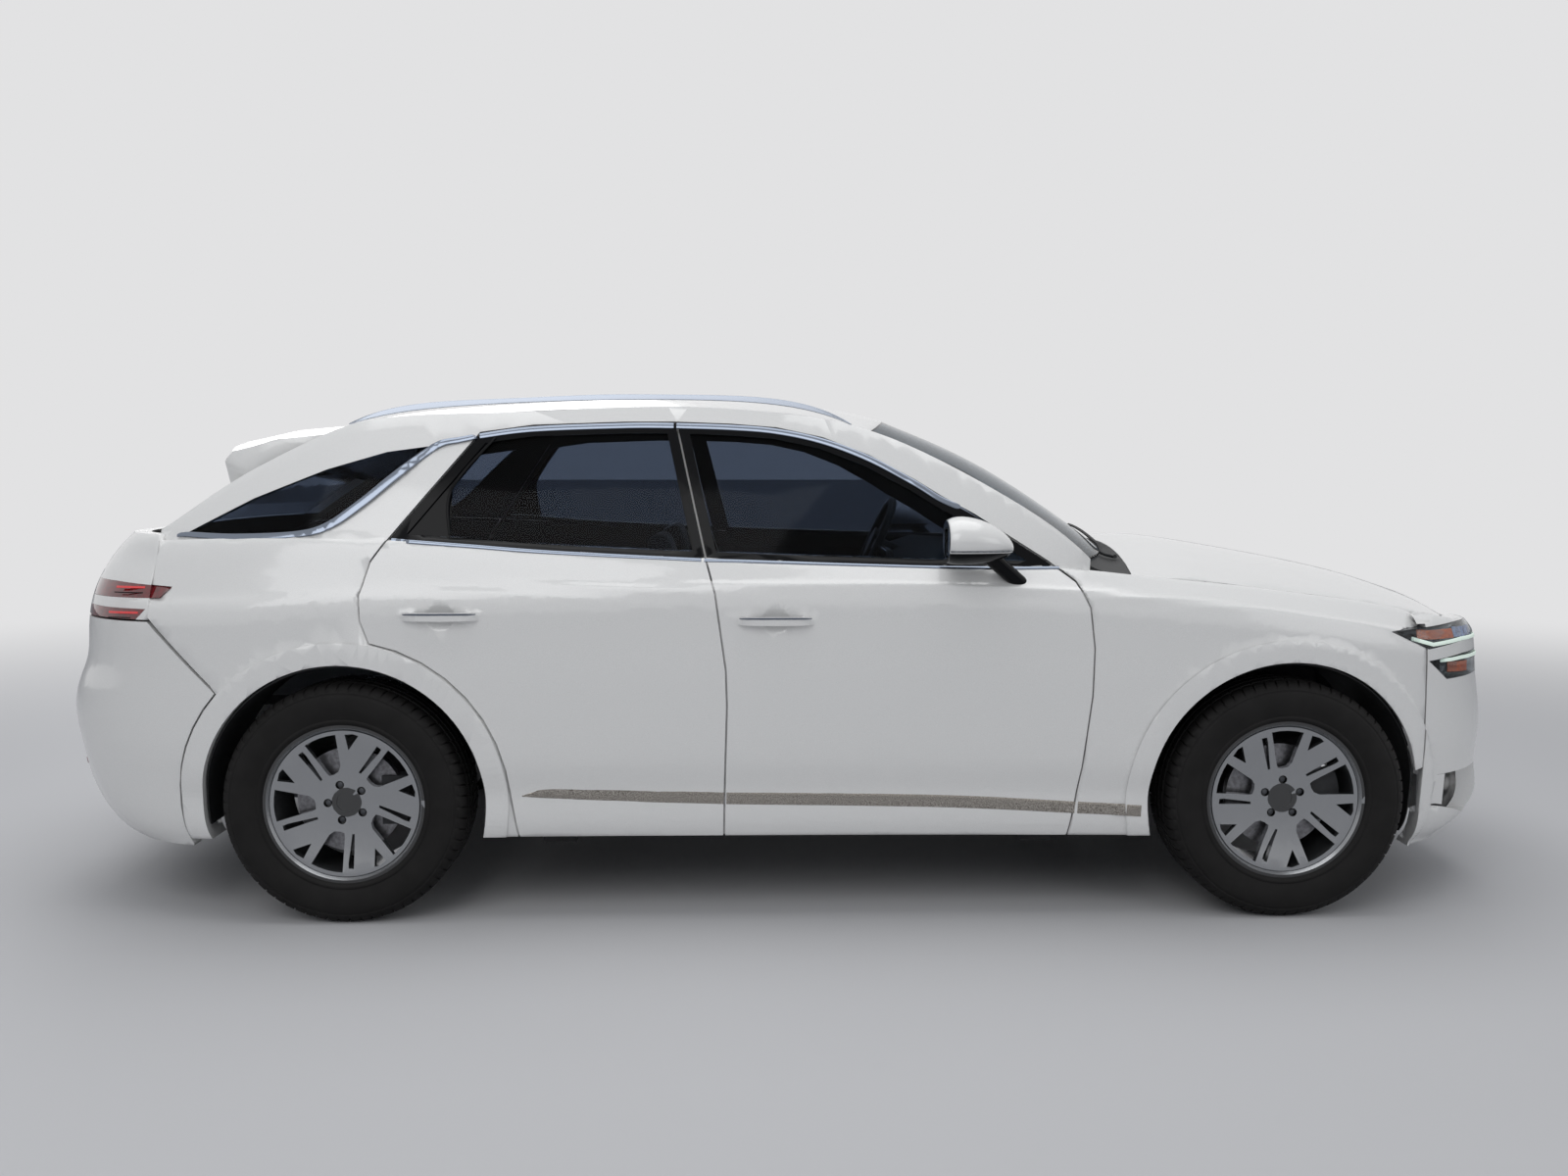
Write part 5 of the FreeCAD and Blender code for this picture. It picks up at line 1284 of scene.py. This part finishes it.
def build_wheel(corner, x, y, sign):
    """Alloy wheel with soft edges, a dark cap, and nuts in recesses darkened by painted shade."""
    node = "wheel_" + corner
    wheel = dress_node(node, soften=2.6)
    centre = Vector((x, y, AXLE_Z))
    lugs = lug_places(corner)

    def place_of(middle):
        away = middle - centre
        return math.hypot(away.x, away.z), away.y * sign

    def is_disc(middle, normal):
        radius, out = place_of(middle)
        return radius < DISC_RADIUS and out < DISC_OUT

    def is_cap(middle, normal):
        radius, out = place_of(middle)
        return radius < CAP_RADIUS and out > FRONT_OUT

    def in_recess(middle, normal):
        out = place_of(middle)[1]
        flat = Vector((middle.x - x, 0, middle.z - AXLE_Z))
        near = min((flat - lug).length for lug in lugs) < LUG_RADIUS + RECESS_MARGIN
        return FRONT_OUT < out < HUB_FACE - RECESS_SUNK and near

    finish_faces(wheel, "disc_iron", is_disc)
    finish_faces(wheel, "cap_black_and_painted_shade", is_cap)
    # Painted shade: the walls of the lug recesses take the cap's black
    finish_faces(wheel, "cap_black_and_painted_shade", in_recess)
    nuts = lug_nuts(lugs, (HUB_FACE - NUT_SUNK) * sign)
    nuts.transform(Matrix.Translation(centre * MM))
    # The nuts' dark coat is partly painted shade of the recesses they sit in
    piece = new_piece("nuts_" + corner, nuts, "steel", BODY_OF[node])
    smooth_by_angle(piece, 30)


def build_wheels():
    """The four wheels."""
    for corner, place in CORNERS.items():
        build_wheel(corner, *place)


# Seats: padded forms over plastic bases. Sizes are x, y and z in millimetres.

SEAT_Y = 375.0
SEAT_VOXEL = 0.012
SEAM_HALF_WIDTH = 7.0
# Seams, as shares of the pad's size: beside the middle panel, and across it
PANEL_EDGE = 0.27
CUSHION_CHANNELS = (-0.28, -0.10, 0.08, 0.26)
BACK_CHANNELS = (-0.25, -0.10, 0.05, 0.20)
BENCH_SEAMS = (0.13, 0.42)
BENCH_FRONT_SEAM = 0.22
BENCH_TOP_SEAM = 0.25
CLOTH_FRAMES = 20
CLOTH_PRESSURE = 4.0
REAR_REST_SIZE = (78, 235, 120)
REAR_REST_PLACES = (("right", -400), ("middle", 0), ("left", 400))


def seam_share(distance):
    """How deep a seam cuts at a distance from its line, from 1 to 0."""
    return math.exp(-(distance / SEAM_HALF_WIDTH) ** 2)


def cushion_form(p, size):
    """Seat cushion: raised side bolsters, a dip between and a round front."""
    across = abs(p.y) / (size[1] / 2)
    p.z += 26 * max(0.0, across - 0.52) / 0.48 * (p.z > 0) - 10 * (1 - across) * (p.z > 0)
    p.x *= 1 - 0.10 * across**4
    return p


def cushion_seams(p, size):
    """Seams beside the cushion's middle panel, and its sewn channels."""
    half = PANEL_EDGE * size[1]
    side = seam_share(abs(abs(p.y) - half)) * (p.z > -10)
    if abs(p.y) >= half or p.z <= 0:
        return side
    return max([side] + [seam_share(abs(p.x - place * size[0])) for place in CUSHION_CHANNELS])


def back_form(p, size):
    """Backrest: narrow shoulders, bolsters at the waist."""
    up = p.z / size[2] + 0.5
    across = abs(p.y) / (size[1] / 2)
    p.y *= 1 - 0.16 * up**2
    bolster = 30 * max(0.0, across - 0.55) / 0.45 * (1 - 0.5 * up)
    p.x += (bolster - 8 * (1 - across)) * (p.x > 0)
    p.x += 26 * math.sin(math.pi * min(1.0, up * 1.4)) * 0.5
    return p


def back_seams(p, size):
    """Seams beside the backrest's middle panel, and its sewn channels."""
    half = PANEL_EDGE * size[1]
    side = seam_share(abs(abs(p.y) - half))
    if abs(p.y) >= half or p.x <= 0:
        return side
    return max([side] + [seam_share(abs(p.z - place * size[2])) for place in BACK_CHANNELS])


def rest_form(p, size):
    """Headrest: crowned front and round lower edge."""
    p.x *= 1 - 0.35 * (p.z / size[2] + 0.5) * 0.6
    p.y *= 1 - 0.12 * max(0.0, -p.z / size[2]) * 2
    return p


def rest_seams(p, size):
    """One seam round the headrest."""
    return seam_share(abs(p.x + 0.18 * size[0])) * 0.6


def bench_form(p, size):
    """Rear cushion with three places."""
    across = abs(p.y) / (size[1] / 2)
    p.z -= 9 * math.cos(3 * math.pi * p.y / size[1]) ** 2 * (p.z > 0)
    p.x *= 1 - 0.06 * across**4
    return p


def bench_seams(p, size):
    """Seams between the places, and one along the front."""
    lines = [seam_share(abs(abs(p.y) - place * size[1])) for place in BENCH_SEAMS]
    cross = seam_share(abs(p.x - BENCH_FRONT_SEAM * size[0])) if p.z > 0 else 0.0
    return max(lines + [cross])


def bench_back_form(p, size):
    """Rear backrest with three places."""
    p.x -= 9 * math.cos(3 * math.pi * p.y / size[1]) ** 2 * (p.x > 0)
    p.y *= 1 - 0.05 * (p.z / size[2] + 0.5)
    return p


def bench_back_seams(p, size):
    """Seams between the places, and one along the top."""
    lines = [seam_share(abs(abs(p.y) - place * size[1])) for place in BENCH_SEAMS]
    cross = seam_share(abs(p.z - BENCH_TOP_SEAM * size[2])) if p.x > 0 else 0.0
    return max(lines + [cross])


def swell(pad, limit):
    """Blow the pad up as cloth, with no point moving further than a limit."""
    before = [vert.co.copy() for vert in pad.data.vertices]
    cloth = pad.modifiers.new("swell", "CLOTH")
    cloth.settings.use_pressure = True
    cloth.settings.uniform_pressure_force = CLOTH_PRESSURE
    cloth.settings.effector_weights.gravity = 0
    for step in range(1, CLOTH_FRAMES + 1):
        bpy.context.scene.frame_set(step)
    make_active(pad)
    bpy.ops.object.modifier_apply(modifier="swell")
    for vert, old in zip(pad.data.vertices, before):
        move = vert.co - old
        if move.length > limit:
            vert.co = old + move * (limit / move.length)
    bpy.context.scene.frame_set(1)


def soft_pad(name, size, place, lean, form, seams, limit=0.010):
    """Padded block: shaped, swollen, seamed, leaned about Y and set in its place."""
    deselect_all()
    bpy.ops.mesh.primitive_cube_add(size=1.0)
    pad = bpy.context.object
    pad.name = name
    pad.scale = [value * MM for value in size]
    bpy.ops.object.transform_apply(scale=True)
    edge = min(size) * 0.30 * MM
    apply_modifier(pad, "round_edges", "BEVEL", width=edge, segments=4, limit_method="NONE")
    apply_modifier(pad, "even_skin", "REMESH", mode="VOXEL", voxel_size=SEAT_VOXEL)
    for vert in pad.data.vertices:
        vert.co = form(vert.co / MM, size) * MM
    swell(pad, limit)
    normals = [vert.normal.copy() for vert in pad.data.vertices]
    for vert, normal in zip(pad.data.vertices, normals):
        vert.co -= normal * (seams(vert.co / MM, size) * sizes().seam_depth)
    apply_modifier(pad, "fine_skin", "SUBSURF", levels=1, render_levels=1)
    turn = Matrix.Rotation(math.radians(lean), 4, "Y")
    pad.data.transform(Matrix.Translation([value * MM for value in place]) @ turn)
    pad.data.materials.clear()
    pad.data.materials.append(MATERIALS["leather"])
    for face in pad.data.polygons:
        face.use_smooth = True
    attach(pad, "body")
    return pad


def build_front_seats():
    """Right front seat in three pads, posts and a base, and its twin on the left."""
    pads = (
        soft_pad(
            "seat_cushion_right", (455, 500, 112), (-68, -SEAT_Y, 490), -3, cushion_form,
            cushion_seams,
        ),
        soft_pad(
            "seat_back_right", (105, 490, 560), (-365, -SEAT_Y, 760), -15, back_form, back_seams,
        ),
        soft_pad(
            "headrest_right", (92, 262, 165), (-432, -SEAT_Y, 1082), -10, rest_form, rest_seams,
            0.006,
        ),
    )
    base = round_block(
        "seat_base_right", (-395, -SEAT_Y - 215, 318), (120, -SEAT_Y + 215, 436), "black_plastic",
        "body", 18,
    )
    posts = []
    for across in (-60, 60):
        line = [(-432, 1000), (-440, 1040), (-442, 1075)]
        points = [Vector((x, across - SEAT_Y, z)) * MM for x, z in line]
        posts.append(tube_mesh(points, 0.006))
    post = new_piece("headrest_posts_right", join_meshes("posts", posts), "chrome", "body")
    smooth_by_angle(post, 40)
    for pad in pads:
        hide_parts("front_seats")
        twin = mirrored_piece(pad, pad.name.replace("right", "left"), "body")
        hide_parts("front_seats")
    mirrored_piece(base, "seat_base_left", "body")
    mirrored_piece(post, "headrest_posts_left", "body")


def build_rear_seat():
    """Bench with three places and a backrest."""
    cushion = soft_pad(
        "rear_cushion", (420, 1240, 110), (-885, 0, 548), -2, bench_form, bench_seams,
    )
    back = soft_pad(
        "rear_back", (86, 1230, 430), (-1245, 0, 838), -30, bench_back_form, bench_back_seams,
    )
    for piece in (cushion, back):
        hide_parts("rear_seat")


def build_rear_headrests():
    """Three low headrests on the rear backrest."""
    for name, across in REAR_REST_PLACES:
        soft_pad(
            "rear_headrest_" + name, REAR_REST_SIZE, (-1392, across, 1072), -18, rest_form,
            rest_seams, 0.005,
        )


# Small outer parts, in millimetres

# Wipers from above: x and y
WIPERS = (
    ("right", ((1062, -560), (1030, -330), (1022, -60))),
    ("left", ((1080, 20), (1050, 240), (1010, 560))),
)
WIPER_UP = 13.0
BRAKE_LIGHT_PLACES = range(-190, 191, 20)
BRAKE_LIGHT_HEIGHT = 1508.0
REFLECTOR_PLACES = range(540, 661, 15)
REFLECTOR_HEIGHT = 452.0


def build_wipers():
    """Two wiper arms lying on the foot of the windscreen."""
    tree = skin_tree("windscreen", "cowl")
    for name, line in WIPERS:
        places = []
        for x, y in rounded_line(line, 25.0):
            spot = skin_point(tree, Vector((x * MM, y * MM, 2.0)), Vector((0, 0, -1)))
            if spot:
                places.append(spot[0] + Vector((0, 0, WIPER_UP * MM)))
        arm = tube_mesh(places, lambda share: sizes().wiper_radius * (1.25 - 0.5 * share))
        piece = new_piece("wiper_" + name, arm, "black_plastic", "body")
        smooth_by_angle(piece, 50)


def rear_strip(tree, name, across, height, width, body):
    """Flat red strip across the tail at a height, facing backwards."""
    samples = []
    for y in across:
        spot = skin_point(tree, Vector((-3.0, y * MM, height * MM)), Vector((1, 0, 0)))
        if spot:
            samples.append([*spot, width])
    strip = strip_mesh(even_samples(samples), FLAT_SECTION, 0.6)
    piece = new_piece(name, strip, "lamp_red", body)
    smooth_by_angle(piece, 40)


def build_rear_lights():
    """High brake light in the spoiler and two reflectors in the bumper."""
    rear_strip(
        skin_tree("tailgate_spoiler"), "high_brake_light", BRAKE_LIGHT_PLACES, BRAKE_LIGHT_HEIGHT,
        9.0, BODY_OF["tailgate_spoiler"],
    )
    tree = skin_tree("bumper_rear")
    for name in ("right", "left"):
        across = [SIDE_SIGN[name] * y for y in REFLECTOR_PLACES]
        rear_strip(tree, "reflector_" + name, across, REFLECTOR_HEIGHT, 20.0, "body")


# Cabin details, in millimetres

# Armrests: first and last place along the car, and lower edge
ARMRESTS = (("front", -120.0, 330.0, 705.0), ("rear", -900.0, -480.0, 715.0))
ARMREST_HEIGHT = 62.0
# Door pull: places along the car from the armrest's end and inwards from its face, and height
# over its lower edge
PULL_LINE = ((-40, -44), (-32, -8), (60, -8), (68, -44))
PULL_UP = 118.0
# Displays: first and last place across, and height
SCREENS = (("centre", -185.0, 165.0, 100.0), ("driver", 235.0, 505.0, 82.0))
SCREEN_TOP = 1092.0


def build_door_linings():
    """Armrest and pull on each door's lining."""
    for place, start, end, low in ARMRESTS:
        node = "door_%s_right" % place
        tree = skin_tree(node)
        found = [
            skin_point(tree, Vector((x * MM, -0.3, (low + 30) * MM)), Vector((0, -1, 0)))
            for x in (start, end)
        ]
        depths = [spot[0].y / MM for spot in found if spot]
        inner = max(depths) + sizes().armrest_depth / MM
        rest = round_block(
            "armrest_%s_right" % place, (start, min(depths), low),
            (end, inner, low + ARMREST_HEIGHT), "vinyl", node, 16, 4,
        )
        mirrored_piece(
            rest, "armrest_%s_left" % place, node.replace("right", "left"),
        )
        points = [Vector((end + x, inner + y, low + PULL_UP)) * MM for x, y in PULL_LINE]
        pull = tube_mesh(rounded_line(points, 0.012), 0.008)
        side_pair("door_pull_" + place, pull, "chrome", node)


def build_screens():
    """Flat displays standing on the dashboard."""
    tree = skin_tree("dashboard")
    for name, first, last, height in SCREENS:
        start = Vector((0.0, (first + last) / 2 * MM, (SCREEN_TOP - 60) * MM))
        face = skin_point(tree, start, Vector((1, 0, 0)))[0].x / MM
        round_block(
            "screen_" + name, (face - 16, first, SCREEN_TOP - height),
            (face + 10, last, SCREEN_TOP), "display", "body", 4,
        )


# The other nodes keep their solids; some get softer edges or a finish unlike their slot's

SOFT_EDGES = {"dashboard": 6.0, "roof_rails": 2.0, "engine": 12.0, "radiator": 2.0}
NODE_FINISH = {"roof_rails": "rails", "grille": "grille_dark", "dashboard": "vinyl"}


def build_other_parts():
    """Grille, rails, dashboard and the parts below, each in its finish."""
    for node in NODES:
        if bpy.data.objects.get("look_" + node) or node in ("front_seats", "rear_seat"):
            continue
        piece = dress_node(node, NODE_FINISH.get(node), soften=SOFT_EDGES.get(node, 0.0))
        if node == "floor_pan":
            finish_faces(piece, "carpet", lambda middle, normal: normal.z > 0.3)


# The add-on


class SuvColours(bpy.types.PropertyGroup):
    """Colours of the car."""
    paint_hex: StringProperty(
        name="Paint", description="Body colour as an sRGB hex value", default="#E4E4E3",
    )
    rail_hex: StringProperty(
        name="Roof rails", description="Colour of the anodised rails as an sRGB hex value",
        default="#8F959F",
    )
    leather_hex: StringProperty(
        name="Leather", description="Colour of the seats as an sRGB hex value",
        default="#1E1D1F",
    )


class SuvSizes(bpy.types.PropertyGroup):
    """Sizes of the added details."""
    nut_radius: FloatProperty(
        name="Nut radius", description="Wheel nut from its middle to a corner", default=0.0098,
        unit="LENGTH",
    )
    seam_depth: FloatProperty(
        name="Seam depth", description="How deep the seams cut into the seat pads",
        default=0.006, unit="LENGTH",
    )
    wiper_radius: FloatProperty(
        name="Wiper radius", description="Half the thickness of a wiper arm", default=0.0055,
        unit="LENGTH",
    )
    armrest_depth: FloatProperty(
        name="Armrest depth", description="How far the armrests stand in from the door linings",
        default=0.048, unit="LENGTH",
    )


class SUV_OT_stage(bpy.types.Operator):
    """Add the floor, the lights and the camera"""
    bl_idname = "suv.stage"
    bl_label = "Stage"

    def execute(self, context):
        build_stage()
        return {"FINISHED"}


class SUV_OT_panels(bpy.types.Operator):
    """Dress the painted panels and the inner linings"""
    bl_idname = "suv.panels"
    bl_label = "Body panels"

    def execute(self, context):
        build_panels()
        return {"FINISHED"}


class SUV_OT_window_trim(bpy.types.Operator):
    """Lay the bright strips round the windows and along the sills"""
    bl_idname = "suv.window_trim"
    bl_label = "Window trim"

    def execute(self, context):
        build_window_trim()
        return {"FINISHED"}


class SUV_OT_handle_trim(bpy.types.Operator):
    """Lay the bright strips on the door handles"""
    bl_idname = "suv.handle_trim"
    bl_label = "Handle trim"

    def execute(self, context):
        build_handle_trim()
        return {"FINISHED"}


class SUV_OT_bumper_corners(bpy.types.Operator):
    """Close the front bumper's painted corners"""
    bl_idname = "suv.bumper_corners"
    bl_label = "Bumper corners"

    def execute(self, context):
        build_bumper_corners()
        return {"FINISHED"}


class SUV_OT_glass(bpy.types.Operator):
    """Dress the panes"""
    bl_idname = "suv.glass"
    bl_label = "Glass"

    def execute(self, context):
        build_glass()
        return {"FINISHED"}


class SUV_OT_headlamps(bpy.types.Operator):
    """Build the headlamps"""
    bl_idname = "suv.headlamps"
    bl_label = "Headlamps"

    def execute(self, context):
        build_headlamps()
        return {"FINISHED"}


class SUV_OT_tail_lamps(bpy.types.Operator):
    """Build the tail lamps"""
    bl_idname = "suv.tail_lamps"
    bl_label = "Tail lamps"

    def execute(self, context):
        build_tail_lamps()
        return {"FINISHED"}


class SUV_OT_mirrors(bpy.types.Operator):
    """Finish the door mirrors"""
    bl_idname = "suv.mirrors"
    bl_label = "Door mirrors"

    def execute(self, context):
        build_mirrors()
        return {"FINISHED"}


class SUV_OT_tyres(bpy.types.Operator):
    """Build the tyres"""
    bl_idname = "suv.tyres"
    bl_label = "Tyres"

    def execute(self, context):
        build_tyres()
        return {"FINISHED"}


class SUV_OT_wheels(bpy.types.Operator):
    """Finish the wheels"""
    bl_idname = "suv.wheels"
    bl_label = "Wheels"

    def execute(self, context):
        build_wheels()
        return {"FINISHED"}


class SUV_OT_front_seats(bpy.types.Operator):
    """Build the padded front seats"""
    bl_idname = "suv.front_seats"
    bl_label = "Front seats"

    def execute(self, context):
        build_front_seats()
        return {"FINISHED"}


class SUV_OT_rear_seat(bpy.types.Operator):
    """Build the padded rear bench"""
    bl_idname = "suv.rear_seat"
    bl_label = "Rear seat"

    def execute(self, context):
        build_rear_seat()
        return {"FINISHED"}


class SUV_OT_rear_headrests(bpy.types.Operator):
    """Build the rear headrests"""
    bl_idname = "suv.rear_headrests"
    bl_label = "Rear headrests"

    def execute(self, context):
        build_rear_headrests()
        return {"FINISHED"}


class SUV_OT_wipers(bpy.types.Operator):
    """Lay the wipers on the windscreen"""
    bl_idname = "suv.wipers"
    bl_label = "Wipers"

    def execute(self, context):
        build_wipers()
        return {"FINISHED"}


class SUV_OT_rear_lights(bpy.types.Operator):
    """Add the high brake light and the reflectors"""
    bl_idname = "suv.rear_lights"
    bl_label = "Small rear lights"

    def execute(self, context):
        build_rear_lights()
        return {"FINISHED"}


class SUV_OT_door_linings(bpy.types.Operator):
    """Add the armrests and pull handles"""
    bl_idname = "suv.door_linings"
    bl_label = "Door linings"

    def execute(self, context):
        build_door_linings()
        return {"FINISHED"}


class SUV_OT_screens(bpy.types.Operator):
    """Add the displays"""
    bl_idname = "suv.screens"
    bl_label = "Displays"

    def execute(self, context):
        build_screens()
        return {"FINISHED"}


class SUV_OT_other_parts(bpy.types.Operator):
    """Dress the cabin, the rails and the parts below"""
    bl_idname = "suv.other_parts"
    bl_label = "Other parts"

    def execute(self, context):
        build_other_parts()
        return {"FINISHED"}


class SUV_PT_panel(bpy.types.Panel):
    """Sidebar list of the pieces"""
    bl_idname = "SUV_PT_panel"
    bl_label = "Car"
    bl_space_type = "VIEW_3D"
    bl_region_type = "UI"
    bl_category = "Car"

    def draw(self, context):
        for group in (context.scene.suv_colours, context.scene.suv_sizes):
            for name in group.__annotations__:
                self.layout.prop(group, name)
        for operator in OPERATORS:
            self.layout.operator(operator.bl_idname)


OPERATORS = (
    SUV_OT_stage,
    SUV_OT_panels,
    SUV_OT_window_trim,
    SUV_OT_handle_trim,
    SUV_OT_bumper_corners,
    SUV_OT_glass,
    SUV_OT_headlamps,
    SUV_OT_tail_lamps,
    SUV_OT_mirrors,
    SUV_OT_tyres,
    SUV_OT_wheels,
    SUV_OT_front_seats,
    SUV_OT_rear_seat,
    SUV_OT_rear_headrests,
    SUV_OT_wipers,
    SUV_OT_rear_lights,
    SUV_OT_door_linings,
    SUV_OT_screens,
    SUV_OT_other_parts,
)
CLASSES = (SuvColours, SuvSizes) + OPERATORS + (SUV_PT_panel,)


def register():
    """Add the classes and their properties to Blender."""
    for item in CLASSES:
        bpy.utils.register_class(item)
    bpy.types.Scene.suv_colours = PointerProperty(type=SuvColours)
    bpy.types.Scene.suv_sizes = PointerProperty(type=SuvSizes)


def unregister():
    """Take them out again."""
    del bpy.types.Scene.suv_sizes
    del bpy.types.Scene.suv_colours
    for item in reversed(CLASSES):
        bpy.utils.unregister_class(item)


def main():
    """Register the add-on and build every piece."""
    register()
    make_materials(bpy.context.scene.suv_colours)
    for operator in OPERATORS:
        group, name = operator.bl_idname.split(".")
        getattr(getattr(bpy.ops, group), name)()


if __name__ == "__main__":
    main()
